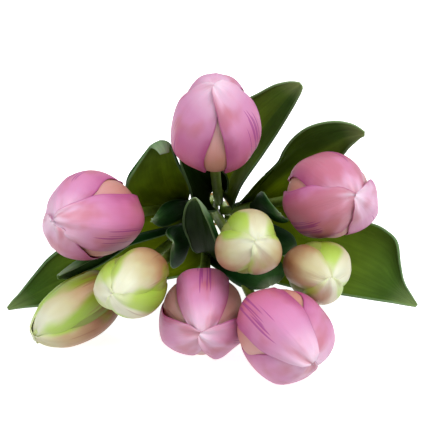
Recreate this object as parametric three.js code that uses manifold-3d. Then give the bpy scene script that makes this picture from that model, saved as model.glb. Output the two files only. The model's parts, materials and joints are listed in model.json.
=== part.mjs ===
// A bouquet of nine artificial tulips, five blooms and four buds, lying on a table.
// Each tulip is a steel wire in a moulded stem sleeve. Its head is threaded on a core that turns on
// the wire's bare end, and its leaves clasp the sleeve. An elastic band holds the nine stems.
// Millimetres. The bunch is modelled upright, cut stem ends at z = 0 and heads at the top, with x to
// the right and y up as seen from the head end. It is then laid down with its heads towards -Y.
import * as THREE from 'three';
import { mergeVertices } from 'three/addons/utils/BufferGeometryUtils.js';
import Module from 'manifold-3d';

const wasm = await Module();
wasm.setup();

// Driving dimensions

const SEAT_GAP = 0.3; // between pieces that seat on each other
const PETAL_GAP = 0.6; // between the two whorls of petals of a head

const WIRE = {
  radius: 0.9,
  gap: 0.4, // to the wall of the sleeve's bore
  peg: 11, // bare end that stands out of the sleeve
  sides: 5,
};
const STEM = {
  radius: 3,
  sides: 8,
  steps: 8,
  pitchGap: 0.4, // between neighbours in the bunch
  footLead: 0.34, // share of the bend's reach over which it leaves the bunch
  headLead: 0.2, // share of the bend's reach over which it meets the head
};
const BUNCH = {
  headPlane: 275, // height of the middle of the fan of heads above the cut ends
  straight: 85, // the stems run straight and side by side up to here
  tilt: 13.5, // degrees that the bunch's axis rises from the table
};
const BAND = {
  width: 7,
  wall: 1.6,
  belowBend: 12, // from the band's top to where the stems start to bend
};

// The two kinds of head. widest: height of the widest ring above the seat. tuck: how far the edges of
// a petal draw in. The inner petals start higher by innerLift and end lower by tipDrop.
const BLOOM = {
  radius: 24.5,
  length: 58,
  widest: 23,
  wall: 1.1,
  tuck: 3.6,
  innerLift: 1.6,
  tipDrop: 4.5,
};
const BUD = {
  radius: 17.6,
  length: 52,
  widest: 21,
  wall: 1.1,
  tuck: 1.6,
  innerLift: 1.6,
  tipDrop: 4,
};

// Petals of the outer and the inner whorl: half the angle that a petal spans at its claw and where it
// is widest, in degrees, and the facets along and across it.
const PETALS = [
  { claw: 40, widest: 57, steps: 5, across: 4 },
  { claw: 46, widest: 57.5, steps: 4, across: 3 },
];
const PETAL_POINT = 0.4; // share of its width that a petal loses towards the tip

const CORE = {
  flangeRadius: 5,
  flange: 1.5,
  neckRadius: 2.9,
  headroom: 2, // in the bore above the wire's peg
  sides: 6,
};
const WASHER = { rim: 2.8, wall: 1.6 };

const LEAF = {
  wall: 1,
  broadHalfWidth: 20, // half the width of a broad leaf
  claspAngle: 55, // half-angle of the gutter round the stem
  flatAngle: 26, // and where the blade leaves the stem
  tipHalfWidth: 0.9,
  footLead: 0.28, // share of the leaf's reach over which it leaves along the stem
  tipLead: 0.38, // share of the leaf's reach over which it takes its direction at the tip
  steps: 10,
  across: 4,
};

// Places in the fan of heads are counted in spread units, so that larger heads stand further apart.
const SPREAD = 0.84 * BLOOM.radius;

// Slots of the stems in the bunch: rows of four, three and two, counted in stem pitches.
// place: where the head is widest. lean: tilt from the bunch's axis and the direction of that tilt.
// turn: how far the petals are turned on the stem. bow: how far the stem's bend is pushed aside.
// Angles are in degrees, directions from +x to +y.
const TULIPS = [
  {
    name: 'top_bloom', kind: BLOOM, slot: [0.5, 1], place: [0.05, 2.57, -0.49],
    lean: [31, 88], turn: 90, bow: [0, 0],
  },
  {
    name: 'left_bloom', kind: BLOOM, slot: [-0.5, 1], place: [-3.15, 0.15, -0.98],
    lean: [27, 182], turn: 110, bow: [0, 0],
  },
  {
    name: 'right_bloom', kind: BLOOM, slot: [1, 0], place: [3.05, 0.66, -1.1],
    lean: [19, 5], turn: 98, bow: [0, 0],
  },
  {
    name: 'front_bloom', kind: BLOOM, slot: [0.5, -1], place: [1.75, -2.7, 1.05],
    lean: [23, -35], turn: 10, bow: [4, 0],
  },
  {
    name: 'low_bloom', kind: BLOOM, slot: [-0.5, -1], place: [-0.28, -2.38, -0.64],
    lean: [11, -90], turn: 90, bow: [0, 0],
  },
  {
    name: 'middle_bud', kind: BUD, slot: [0, 0], place: [0.87, -0.48, 0.24],
    lean: [8, 27], turn: 82, bow: [0, 0],
  },
  {
    name: 'right_bud', kind: BUD, slot: [1.5, -1], place: [2.65, -1.22, -0.25],
    lean: [10, -23], turn: 35, bow: [4, 1],
  },
  {
    name: 'left_bud', kind: BUD, slot: [-1, 0], place: [-2.02, -1.48, 0.25],
    lean: [19, 206], turn: 60, bow: [0, 0],
  },
  {
    name: 'drooping_bud', kind: BUD, slot: [-1.5, -1], place: [-3.6, -2.295, -1.5],
    lean: [70, 212], turn: 42, bow: [-5, -2],
  },
];

// Leaves. foot: the leaf's height on its stem, as a share of the rise from the bend to the head plane.
// side: the direction that it faces there. tip: a place in the fan. lean: the leaf's direction there.
// half: the widths of its two halves, as shares of a broad leaf's. belly: the share of its length at
// which it is widest. open: the half-angle of its gutter at the tip. roll: its twist. wave: the depth of
// the waves of its edges.
const LEAVES = [
  {
    name: 'leaf_top_right', stem: 'top_bloom', foot: 0.142, side: 50, tip: [2.34, 3.68, -0.73],
    lean: [40, 45], half: [0.55, 0.7], belly: 0.45, open: 60, roll: 0, wave: 2,
  },
  {
    name: 'leaf_right_high', stem: 'right_bloom', foot: 0.258, side: 100, tip: [3.95, 2.5, -1.46],
    lean: [65, 5], half: [1.3, 0.5], belly: 0.6, open: 40, roll: -40, wave: 2,
  },
  {
    name: 'leaf_right_low', stem: 'right_bud', foot: 0.142, side: -30, tip: [5.5, -2.35, -2.9],
    lean: [75, -40], half: [1.2, 1.35], belly: 0.65, open: 30, roll: 0, wave: 3,
  },
  {
    name: 'leaf_left_low', stem: 'drooping_bud', foot: 0.142, side: 200, tip: [-5.68, -2.5, -3.6],
    lean: [75, 212], half: [1.05, 1.05], belly: 0.57, open: 30, roll: 0, wave: 2,
  },
  {
    name: 'leaf_left_fold', stem: 'left_bud', foot: 0.342, side: 95, tip: [-4.12, -1.42, -1.7],
    lean: [55, 220], half: [0.3, 0.65], belly: 0.57, open: 70, roll: 30, wave: 1,
  },
  {
    name: 'leaf_left_high', stem: 'left_bloom', foot: 0.353, side: 118, tip: [-1.5, 2.38, -1.22],
    lean: [30, 50], half: [0.85, 1.2], belly: 0.5, open: 40, roll: 0, wave: 2,
  },
  {
    name: 'leaf_top_left', stem: 'top_bloom', foot: 0.353, side: 130, tip: [-0.85, 2.05, -1.5],
    lean: [25, 115], half: [0.35, 0.5], belly: 0.5, open: 40, roll: 0, wave: 1,
  },
  {
    name: 'leaf_middle', stem: 'low_bloom', foot: 0.458, side: 62, tip: [-0.45, 0.66, -0.49],
    lean: [10, 120], half: [0.75, 0.6], belly: 0.5, open: 60, roll: 0, wave: 1,
  },
  {
    name: 'leaf_middle_left', stem: 'left_bud', foot: 0.48, side: 10, tip: [-1.05, -0.5, -0.9],
    lean: [10, 90], half: [0.6, 0.5], belly: 0.5, open: 50, roll: 0, wave: 1,
  },
  {
    name: 'leaf_left_inner', stem: 'left_bloom', foot: 0.3, side: -12, tip: [-1.62, 0.05, -1.3],
    lean: [15, 175], half: [0.38, 0.34], belly: 0.58, open: 50, roll: 0, wave: 1,
  },
  {
    name: 'leaf_right_inner', stem: 'right_bloom', foot: 0.4, side: 215, tip: [1.75, 0.2, -1],
    lean: [15, 0], half: [0.4, 0.6], belly: 0.55, open: 45, roll: 0, wave: 1,
  },
  {
    name: 'leaf_low_inner', stem: 'front_bloom', foot: 0.36, side: 115, tip: [1.3, -1.5, -0.7],
    lean: [15, -50], half: [0.52, 0.4], belly: 0.55, open: 45, roll: 0, wave: 1,
  },
  {
    name: 'leaf_right_back', stem: 'right_bud', foot: 0.3, side: 130, tip: [2.15, -0.72, -1.3],
    lean: [12, -10], half: [0.4, 0.38], belly: 0.5, open: 45, roll: 0, wave: 1,
  },
];

// Materials

const finish = (color, roughness, metalness = 0) =>
  new THREE.MeshStandardMaterial({ color, roughness, metalness });
const PINK = finish(0xd98bb4, 0.55);
const PINK_INNER = finish(0xcf8f8f, 0.6);
const CREAM = finish(0xdfe0a8, 0.55);
const CREAM_INNER = finish(0xc9d98a, 0.6);
const CORE_GREEN = finish(0xa9b45c, 0.7);
const STEM_GREEN = finish(0x6f8f2e, 0.6);
const LEAF_GREEN = finish(0x3b5a22, 0.55);
const STEEL = finish(0x8d9092, 0.4, 1);
const RUBBER = finish(0xb58a52, 0.8);

// Small tools

const Z_AXIS = new THREE.Vector3(0, 0, 1);
const radians = THREE.MathUtils.degToRad;
const lerp = THREE.MathUtils.lerp;
const smoothstep = THREE.MathUtils.smoothstep;

// Unit vector that tilts away from the bunch's axis in a direction round it.
function leaning([tilt, direction]) {
  const t = radians(tilt);
  const d = radians(direction);
  return new THREE.Vector3(Math.sin(t) * Math.cos(d), Math.sin(t) * Math.sin(d), Math.cos(t));
}

// A place in the fan of heads, from spread units to millimetres.
const inFan = ([x, y, z]) => new THREE.Vector3(x * SPREAD, y * SPREAD, BUNCH.headPlane + z * SPREAD);

// A closed geometry as a solid that can be joined, and back.
function toSolid(geometry) {
  const bare = geometry.clone();
  bare.deleteAttribute('normal');
  bare.deleteAttribute('uv');
  const merged = mergeVertices(bare, 1e-4);
  const vertProperties = merged.attributes.position.array;
  const triVerts = new Uint32Array(merged.index.array);
  return new wasm.Manifold(new wasm.Mesh({ numProp: 3, vertProperties, triVerts }));
}

function toGeometry(solid) {
  const { vertProperties, triVerts } = solid.getMesh();
  const geometry = new THREE.BufferGeometry();
  geometry.setAttribute('position', new THREE.BufferAttribute(vertProperties, 3));
  geometry.setIndex(new THREE.BufferAttribute(triVerts, 1));
  geometry.computeVertexNormals();
  return geometry;
}

// A lathe about Z.
const turned = (profile, sides) =>
  new THREE.LatheGeometry(profile.map(([r, z]) => new THREE.Vector2(r, z)), sides).rotateX(Math.PI / 2);

// A curved sheet of even wall: middle(s, v) gives its middle surface for s from 0 to 1 and v from -1 to 1.
function sheet(middle, wall, steps, across) {
  const nudge = 1e-3;
  const positions = [];
  const index = [];
  const at = (side, i, j) => side * (steps + 1) * (across + 1) + i * (across + 1) + j;
  for (const side of [0.5, -0.5]) {
    for (let i = 0; i <= steps; i++) {
      for (let j = 0; j <= across; j++) {
        const s = i / steps;
        const v = (2 * j) / across - 1;
        const along = middle(Math.min(s + nudge, 1), v).sub(middle(Math.max(s - nudge, 0), v));
        const aside = middle(s, Math.min(v + nudge, 1)).sub(middle(s, Math.max(v - nudge, -1)));
        const normal = along.cross(aside).normalize();
        positions.push(...middle(s, v).addScaledVector(normal, side * wall).toArray());
      }
    }
  }
  const quad = (a, b, c, d) => index.push(a, b, c, a, c, d);
  for (let i = 0; i < steps; i++) {
    for (let j = 0; j < across; j++) {
      quad(at(0, i, j), at(0, i + 1, j), at(0, i + 1, j + 1), at(0, i, j + 1));
      quad(at(1, i, j), at(1, i, j + 1), at(1, i + 1, j + 1), at(1, i + 1, j));
    }
    quad(at(0, i, 0), at(1, i, 0), at(1, i + 1, 0), at(0, i + 1, 0));
    quad(at(0, i, across), at(0, i + 1, across), at(1, i + 1, across), at(1, i, across));
  }
  for (let j = 0; j < across; j++) {
    quad(at(0, 0, j), at(0, 0, j + 1), at(1, 0, j + 1), at(1, 0, j));
    quad(at(0, steps, j), at(1, steps, j), at(1, steps, j + 1), at(0, steps, j + 1));
  }
  const geometry = new THREE.BufferGeometry();
  geometry.setAttribute('position', new THREE.Float32BufferAttribute(positions, 3));
  geometry.setIndex(index);
  geometry.computeVertexNormals();
  return geometry;
}

// Heads, each in its own frame: the core's seat on the stem at the origin, the tip along +Z

// The washers of the two whorls of petals are threaded on the core's neck and stacked on its flange.
const washerBore = CORE.neckRadius + SEAT_GAP;
const washerBottom = (layer) => CORE.flange + SEAT_GAP + layer * (WASHER.wall + SEAT_GAP);

// Outline of a petal's middle from its claw, which leaves the washer squarely, to its tip, as radius and
// height.
function petalOutline(kind, layer) {
  const radius = kind.radius - kind.wall / 2 - layer * (kind.wall + kind.tuck + PETAL_GAP);
  const length = kind.length - layer * kind.tipDrop;
  const lift = layer * kind.innerLift;
  const shares = kind === BLOOM
    ? [[0.46, -0.03], [0.78, 0.03], [0.98, 0.22], [0.99, 0.44], [0.84, 0.68], [0.46, 0.89], [0.1, 0.99]]
    : [[0.52, -0.01], [0.84, 0.09], [1, 0.3], [0.98, 0.5], [0.81, 0.72], [0.48, 0.89], [0.14, 0.985]];
  const height = washerBottom(layer) + WASHER.wall / 2;
  const claw = [0.5, 1.3].map((share) => new THREE.Vector2(washerBore + WASHER.rim * share, height));
  const points = shares.map(([r, z]) => new THREE.Vector2(r * radius, z * length + lift * (1 - z)));
  return new THREE.SplineCurve([...claw, ...points]);
}

// Half the angle that a petal spans: narrow at the claw, widest above the middle, pointed at the tip.
function petalHalfAngle(layer, t) {
  const { claw, widest } = PETALS[layer];
  const tip = 1 - PETAL_POINT * smoothstep(t, 0.8, 1);
  return radians(lerp(claw, widest, smoothstep(t, 0.05, 0.6)) * tip);
}

function petal(kind, layer) {
  const outline = petalOutline(kind, layer);
  const middle = (s, v) => {
    const { x: radius, y: height } = outline.getPointAt(s);
    const angle = v * petalHalfAngle(layer, s);
    const r = radius - kind.tuck * v * v * Math.sin(Math.PI * s);
    return new THREE.Vector3(r * Math.cos(angle), r * Math.sin(angle), height);
  };
  return sheet(middle, kind.wall, PETALS[layer].steps, PETALS[layer].across);
}

// Three petals on the washer that threads on the core's neck.
function whorl(kind, layer) {
  const rim = washerBore + WASHER.rim;
  const bottom = washerBottom(layer);
  const top = bottom + WASHER.wall;
  const ring = [[washerBore, bottom], [rim, bottom], [rim, top], [washerBore, top], [washerBore, bottom]];
  let solid = toSolid(turned(ring, CORE.sides));
  const onePetal = toSolid(petal(kind, layer));
  for (let i = 0; i < 3; i++) {
    solid = solid.add(onePetal.rotate([0, 0, 120 * i + 60 * layer]));
  }
  return toGeometry(solid);
}

// The core takes the wire's bare end in a blind bore and fills the middle of the head: a pistil with
// its three-lobed top in a bloom, an egg of foam in a bud.
function core(kind) {
  const bore = WIRE.radius + SEAT_GAP;
  const boreTop = WIRE.peg + CORE.headroom;
  const neckTop = washerBottom(2);
  const foot = [
    [0, boreTop], [bore, boreTop], [bore, 0], [CORE.flangeRadius, 0],
    [CORE.flangeRadius, CORE.flange], [CORE.neckRadius, CORE.flange], [CORE.neckRadius, neckTop],
  ];
  const room = kind.radius - 2 * (kind.wall + kind.tuck + PETAL_GAP) - kind.wall;
  const height = kind.length - kind.tipDrop - neckTop;
  const pistil = [
    [1.24, 0.09], [1.45, 0.22], [1.14, 0.38], [0.97, 0.47], [1.72, 0.53], [1.52, 0.57], [0, 0.55],
  ];
  const egg = [[0.5, 0.06], [0.95, 0.24], [1, 0.42], [0.75, 0.62], [0.35, 0.77], [0, 0.8]];
  const [shares, girth] = kind === BLOOM ? [pistil, CORE.neckRadius] : [egg, room];
  return turned([...foot, ...shares.map(([r, z]) => [r * girth, neckTop + z * height])], CORE.sides);
}

// Stems

const pitch = 2 * STEM.radius + STEM.pitchGap;
const slotPlace = ([x, row]) => new THREE.Vector2(x * pitch, row * pitch * Math.sin(Math.PI / 3));

// Where a head sits: the frame of its core's seat.
function headSeat(tulip) {
  const axis = leaning(tulip.lean);
  const seat = inFan(tulip.place).addScaledVector(axis, -tulip.kind.widest);
  return { axis, seat };
}

// Middle line of a stem. Steps along it are spaced so that the straight run in the bunch takes the
// first one and the bend takes the others.
class StemLine extends THREE.Curve {
  constructor(straight, bend) {
    super();
    this.straight = straight;
    this.bend = bend;
  }

  // The part of the line that holds a share of its steps, and the share of that part.
  locate(share) {
    const step = share * STEM.steps;
    return step <= 1 ? [this.straight, step] : [this.bend, (step - 1) / (STEM.steps - 1)];
  }

  getPointAt(share, target) {
    const [part, at] = this.locate(share);
    return part.getPointAt(at, target);
  }

  getTangentAt(share, target) {
    const [part, at] = this.locate(share);
    return part.getTangentAt(at, target);
  }
}

// A stem runs straight in the bunch, then bends to meet its head squarely.
function stemLine(tulip) {
  const { axis, seat } = headSeat(tulip);
  const slot = slotPlace(tulip.slot);
  const foot = new THREE.Vector3(slot.x, slot.y, 0);
  const bendFrom = new THREE.Vector3(slot.x, slot.y, BUNCH.straight);
  const end = seat.clone().addScaledVector(axis, -SEAT_GAP);
  const reach = bendFrom.distanceTo(end);
  const control1 = bendFrom.clone().addScaledVector(Z_AXIS, reach * STEM.footLead);
  control1.add(new THREE.Vector3(...tulip.bow, 0));
  const control2 = end.clone().addScaledVector(axis, -reach * STEM.headLead);
  const bend = new THREE.CubicBezierCurve3(bendFrom, control1, control2, end);
  return new StemLine(new THREE.LineCurve3(foot, bendFrom), bend);
}

function ringShape(radius, sides) {
  const points = [];
  for (let i = 0; i < sides; i++) {
    const angle = (2 * Math.PI * i) / sides;
    points.push(new THREE.Vector2(radius * Math.cos(angle), radius * Math.sin(angle)));
  }
  return points;
}

function alongStem(tulip, shape) {
  const extrudePath = stemLine(tulip);
  return new THREE.ExtrudeGeometry(shape, { steps: STEM.steps, bevelEnabled: false, extrudePath });
}

function stemSleeve(tulip) {
  const section = new THREE.Shape(ringShape(STEM.radius, STEM.sides));
  section.holes.push(new THREE.Path(ringShape(WIRE.radius + WIRE.gap, WIRE.sides)));
  return alongStem(tulip, section);
}

// The wire fills the sleeve's bore and stands out of its top as the peg that the head turns on.
function stemWire(tulip) {
  const { axis, seat } = headSeat(tulip);
  const inside = toSolid(alongStem(tulip, new THREE.Shape(ringShape(WIRE.radius, WIRE.sides))));
  const overlap = 1;
  const peg = new THREE.CylinderGeometry(WIRE.radius, WIRE.radius, WIRE.peg + overlap, WIRE.sides);
  peg.translate(0, (WIRE.peg - overlap) / 2, 0);
  peg.applyQuaternion(new THREE.Quaternion().setFromUnitVectors(new THREE.Vector3(0, 1, 0), axis));
  peg.translate(seat.x, seat.y, seat.z);
  return toGeometry(inside.add(toSolid(peg)));
}

// Leaves

// Point on a stem's middle line at a height above the cut ends, and the stem's direction there.
function stemAtHeight(tulip, height) {
  const stations = stemLine(tulip).getSpacedPoints(STEM.steps);
  const next = Math.max(stations.findIndex(({ z }) => z > height), 1);
  const below = stations[next - 1];
  const above = stations[next];
  const along = above.clone().sub(below);
  const point = below.clone().addScaledVector(along, (height - below.z) / along.z);
  return { point, along: along.normalize() };
}

// A leaf's foot lies round the stem at this distance from the stem's middle line.
const leafFootRadius = STEM.radius + SEAT_GAP + LEAF.wall / 2;

// Frame of a leaf's foot: where it clasps the stem, the stem's direction, and the way out from the stem.
function leafFoot(leaf) {
  const tulip = TULIPS.find(({ name }) => name === leaf.stem);
  const { point, along } = stemAtHeight(tulip, lerp(BUNCH.straight, BUNCH.headPlane, leaf.foot));
  const out = leaning([90, leaf.side]);
  out.addScaledVector(along, -out.dot(along)).normalize();
  const foot = point.addScaledVector(out, leafFootRadius);
  return { foot, along, out };
}

// Midrib of a leaf, and the way out of its gutter's back carried along it without twisting.
function leafSpine(leaf) {
  const { foot, along, out } = leafFoot(leaf);
  const tip = inFan(leaf.tip);
  const reach = foot.distanceTo(tip);
  const control1 = foot.clone().addScaledVector(along, reach * LEAF.footLead);
  const control2 = tip.clone().addScaledVector(leaning(leaf.lean), -reach * LEAF.tipLead);
  const curve = new THREE.CubicBezierCurve3(foot, control1, control2, tip);
  const stations = 48;
  const backs = [out.clone()];
  for (let i = 1; i <= stations; i++) {
    const tangent = curve.getTangentAt(i / stations);
    const back = backs[i - 1].clone();
    backs.push(back.addScaledVector(tangent, -back.dot(tangent)).normalize());
  }
  return (s) => {
    const i = Math.min(Math.floor(s * stations), stations - 1);
    const tangent = curve.getTangentAt(s);
    const back = backs[i].clone().lerp(backs[i + 1], s * stations - i);
    back.addScaledVector(tangent, -back.dot(tangent)).normalize();
    back.applyAxisAngle(tangent, radians(leaf.roll) * s * s);
    return { point: curve.getPointAt(s), back, side: tangent.clone().cross(back) };
  };
}

// The blade is a gutter that clasps the stem, leaves it almost flat and folds again towards its tip.
function leafBlade(leaf) {
  const frameAt = leafSpine(leaf);
  const footHalf = leafFootRadius * radians(LEAF.claspAngle);
  const middle = (s, v) => {
    const { point, back, side } = frameAt(s);
    const swell = Math.sin(Math.PI * Math.pow(s, Math.log(0.5) / Math.log(leaf.belly)));
    const widest = leaf.half[v > 0 ? 1 : 0] * LEAF.broadHalfWidth - 0.3 * footHalf;
    const half = Math.max(footHalf * (1 - s) + widest * swell, LEAF.tipHalfWidth);
    const opened = lerp(LEAF.claspAngle, LEAF.flatAngle, smoothstep(s, 0, 0.3));
    const gutter = radians(lerp(opened, leaf.open, smoothstep(s, 0.3, 0.8)));
    const bend = half / gutter;
    const wave = leaf.wave * swell * Math.pow(Math.abs(v), 3) * Math.sin(7 * s + (v > 0 ? 0 : 2));
    return point
      .addScaledVector(side, bend * Math.sin(v * gutter))
      .addScaledVector(back, -bend * (1 - Math.cos(v * gutter)) + wave);
  };
  return sheet(middle, LEAF.wall, LEAF.steps, LEAF.across);
}

// Elastic band round the bunch: the stems' outer slots, rounded by what lies between

function bandOutline(Outline, clear) {
  const corners = [[-1.5, -1], [1.5, -1], [0.5, 1], [-0.5, 1]].map(slotPlace);
  const outline = new Outline();
  corners.forEach((corner, i) => {
    const next = corners[(i + 1) % corners.length];
    const last = corners[(i + corners.length - 1) % corners.length];
    const from = corner.clone().sub(last).angle() - Math.PI / 2;
    const to = next.clone().sub(corner).angle() - Math.PI / 2;
    outline.absarc(corner.x, corner.y, clear, from, to, false);
  });
  outline.closePath();
  return outline;
}

function elasticBand() {
  const inside = STEM.radius + SEAT_GAP;
  const section = bandOutline(THREE.Shape, inside + BAND.wall);
  section.holes.push(bandOutline(THREE.Path, inside));
  const shape = { depth: BAND.width, bevelEnabled: false, curveSegments: 3 };
  const band = new THREE.ExtrudeGeometry(section, shape);
  return band.translate(0, 0, BUNCH.straight - BAND.belowBend - BAND.width);
}

// Assembly

function named(name, geometry, material) {
  const mesh = new THREE.Mesh(geometry, material);
  mesh.name = name;
  return mesh;
}

function head(tulip) {
  const { kind, name } = tulip;
  const { axis, seat } = headSeat(tulip);
  const [outer, inner] = kind === BLOOM ? [PINK, PINK_INNER] : [CREAM, CREAM_INNER];
  const turnedHead = new THREE.Group();
  turnedHead.add(named(`${name}_core`, core(kind), CORE_GREEN));
  turnedHead.add(named(`${name}_inner_petals`, whorl(kind, 1), inner));
  turnedHead.add(named(`${name}_outer_petals`, whorl(kind, 0), outer));
  turnedHead.rotation.z = radians(tulip.turn);
  const placed = new THREE.Group();
  placed.add(turnedHead);
  placed.position.copy(seat);
  placed.quaternion.setFromUnitVectors(Z_AXIS, axis);
  return placed;
}

const bunch = new THREE.Group();
bunch.add(named('elastic_band', elasticBand(), RUBBER));
for (const tulip of TULIPS) {
  bunch.add(named(`${tulip.name}_stem`, stemSleeve(tulip), STEM_GREEN));
  bunch.add(named(`${tulip.name}_wire`, stemWire(tulip), STEEL));
  bunch.add(head(tulip));
}
for (const leaf of LEAVES) {
  bunch.add(named(leaf.name, leafBlade(leaf), LEAF_GREEN));
}

// Laid down: heads towards -Y, the box's bottom centre at the origin.
const bouquet = new THREE.Group();
bunch.rotation.x = Math.PI / 2 - radians(BUNCH.tilt);
bouquet.add(bunch);
const box = new THREE.Box3().setFromObject(bouquet, true);
const middleOfBox = box.getCenter(new THREE.Vector3());
bunch.position.set(-middleOfBox.x, -middleOfBox.y, -box.min.z);

export default bouquet;
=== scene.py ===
"""Looks of a bouquet of nine artificial tulips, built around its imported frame.

Shapes are worked out in millimetres, in the frame of the bunch or of one head, and placed in metres.
"""

import json
import logging
import math
from dataclasses import dataclass, field
from enum import Enum
from typing import Callable, Iterable, Sequence

import bmesh
import bpy
import numpy as np
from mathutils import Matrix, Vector


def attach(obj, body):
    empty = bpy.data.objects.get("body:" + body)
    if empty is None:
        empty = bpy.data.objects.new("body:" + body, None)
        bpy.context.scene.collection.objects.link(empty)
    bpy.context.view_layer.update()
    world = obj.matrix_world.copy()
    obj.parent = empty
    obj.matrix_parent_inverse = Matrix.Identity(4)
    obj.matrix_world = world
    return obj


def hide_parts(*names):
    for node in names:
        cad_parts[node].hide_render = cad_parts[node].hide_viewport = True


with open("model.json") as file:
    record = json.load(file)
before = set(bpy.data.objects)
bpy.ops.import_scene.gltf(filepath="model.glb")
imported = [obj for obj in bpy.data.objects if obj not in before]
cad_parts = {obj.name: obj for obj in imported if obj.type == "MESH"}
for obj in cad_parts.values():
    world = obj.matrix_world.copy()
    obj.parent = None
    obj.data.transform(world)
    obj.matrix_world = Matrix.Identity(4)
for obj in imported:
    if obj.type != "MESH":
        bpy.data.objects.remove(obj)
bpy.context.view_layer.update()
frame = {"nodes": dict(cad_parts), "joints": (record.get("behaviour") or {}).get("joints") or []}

LOG = logging.getLogger("tulip_bouquet")
MM = 0.001

Array = np.ndarray
Surface = Callable[[Array, Array], Array]
Knots = Sequence[tuple[float, float]]
Colour = tuple[float, float, float, float]
Stops = Sequence[tuple[float, str]]
Socket = bpy.types.NodeSocket

# Fineness of curves and meshes, in steps
BEZIER_POINTS = 240
RUN_POINTS = 40
STRAIGHT_POINTS = 60
PETAL_STEPS = (48, 30)
LEAF_STEPS = (120, 40)
ROD_RINGS = 96
SLEEVE_SIDES = 20
WIRE_SIDES = 12
TURNING_SIDES = 24
CORE_RINGS = 28
SPINE_STATIONS = 193
SECTION_STEPS = 41
STEM_SAMPLES = 600
TANGENT_STEP = 4e-3

# Rounding of sheets, rods and turned pieces: shares of the wall and the radius, and millimetres
SHEET_ROUND = 0.8
ROD_ROUND = 0.2
SOFT_EDGE = 0.25

# Fittings of a head, in millimetres: washers on the core's neck, the petals' claws, and the core
WASHER_FOOT = 1.8
WASHER_PITCH = 1.9
WASHER_WALL = 1.6
WASHER_RADII = (3.2, 6.0)
CLAW_HEIGHT = 2.6
CLAW_RADII = (4.6, 6.8)
LAYER_GAP = 0.6
SEAT_GAP = 0.3
NECK_RADIUS = 2.9
NECK_TOP = 5.6
BORE = ((0.02, 13.0), (1.2, 13.0), (1.2, 0.0))
FLANGE = ((4.6, 0.0), (5.0, 0.5), (5.0, 1.2), (4.6, 1.5), (NECK_RADIUS, 1.5))

# Outlines of the two kinds of core, as shares of girth and height above the neck
PISTIL = ((1.24, 0.09), (1.45, 0.22), (1.14, 0.38), (0.97, 0.47), (1.72, 0.53), (1.52, 0.57), (0.02, 0.55))
EGG = ((0.5, 0.06), (0.95, 0.24), (1.0, 0.42), (0.75, 0.62), (0.35, 0.77), (0.02, 0.8))

# Small forms of a petal, in millimetres: its tip's reach past the axis and how that differs between
# petals, the tip's rise and lift, creases, keel, ruffles and least cup
TIP_REACH = 0.3
TIP_STEP = 1.1
TIP_RISE = 0.25
TIP_LIFT = 0.85
CREASE = 0.45
KEEL = 0.6
RUFFLE = 0.5
LEAST_CUP = 6.0

# A place across that lies off the petal, so that no streaks show
NO_STREAK = 9.0

# Play between petals of one ring: their direction in degrees, their length as a share, and the laps of
# the inner ones
TURN_PLAY = 1.5
LENGTH_PLAY = (0.985, 1.005)
INNER_LAPS = (0.3, -0.3)

# How uneven the mould leaves a sleeve, as a share of its radius
SLEEVE_PLAY = 0.03

# Height over which a stem's corners count as its cut end, in millimetres
CUT_HEIGHT = 0.05


# Small tools


def unit(vector: Array) -> Array:
    """Vectors scaled to length one along the last axis."""
    return vector / np.maximum(np.linalg.norm(vector, axis=-1, keepdims=True), 1e-12)


def smoothstep(x: Array, low: float, high: float) -> Array:
    """Smooth rise from 0 at low to 1 at high."""
    t = np.clip((x - low) / (high - low), 0.0, 1.0)
    return t * t * (3.0 - 2.0 * t)


def curve_through(knots: Knots, x: Array) -> Array:
    """Reads a smooth curve that passes through given points.

    Args:
        knots: Pairs of position and value, positions rising.
        x: Positions to read.

    Returns:
        The curve's values at x.
    """
    xs, ys = np.array(knots, float).T
    slopes = np.gradient(ys, xs)
    i = np.clip(np.searchsorted(xs, x) - 1, 0, len(xs) - 2)
    span = xs[i + 1] - xs[i]
    t = (x - xs[i]) / span
    rest = 1.0 - t
    near = (1.0 + 2.0 * t) * rest * rest * ys[i] + t * rest * rest * span * slopes[i]
    far = t * t * (3.0 - 2.0 * t) * ys[i + 1] - t * t * rest * span * slopes[i + 1]
    return near + far


def leaning(tilt: float, direction: float) -> Array:
    """Unit vector tilted from the bunch's axis towards a direction round it, in degrees."""
    t, d = math.radians(tilt), math.radians(direction)
    return np.array([math.sin(t) * math.cos(d), math.sin(t) * math.sin(d), math.cos(t)])


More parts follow.
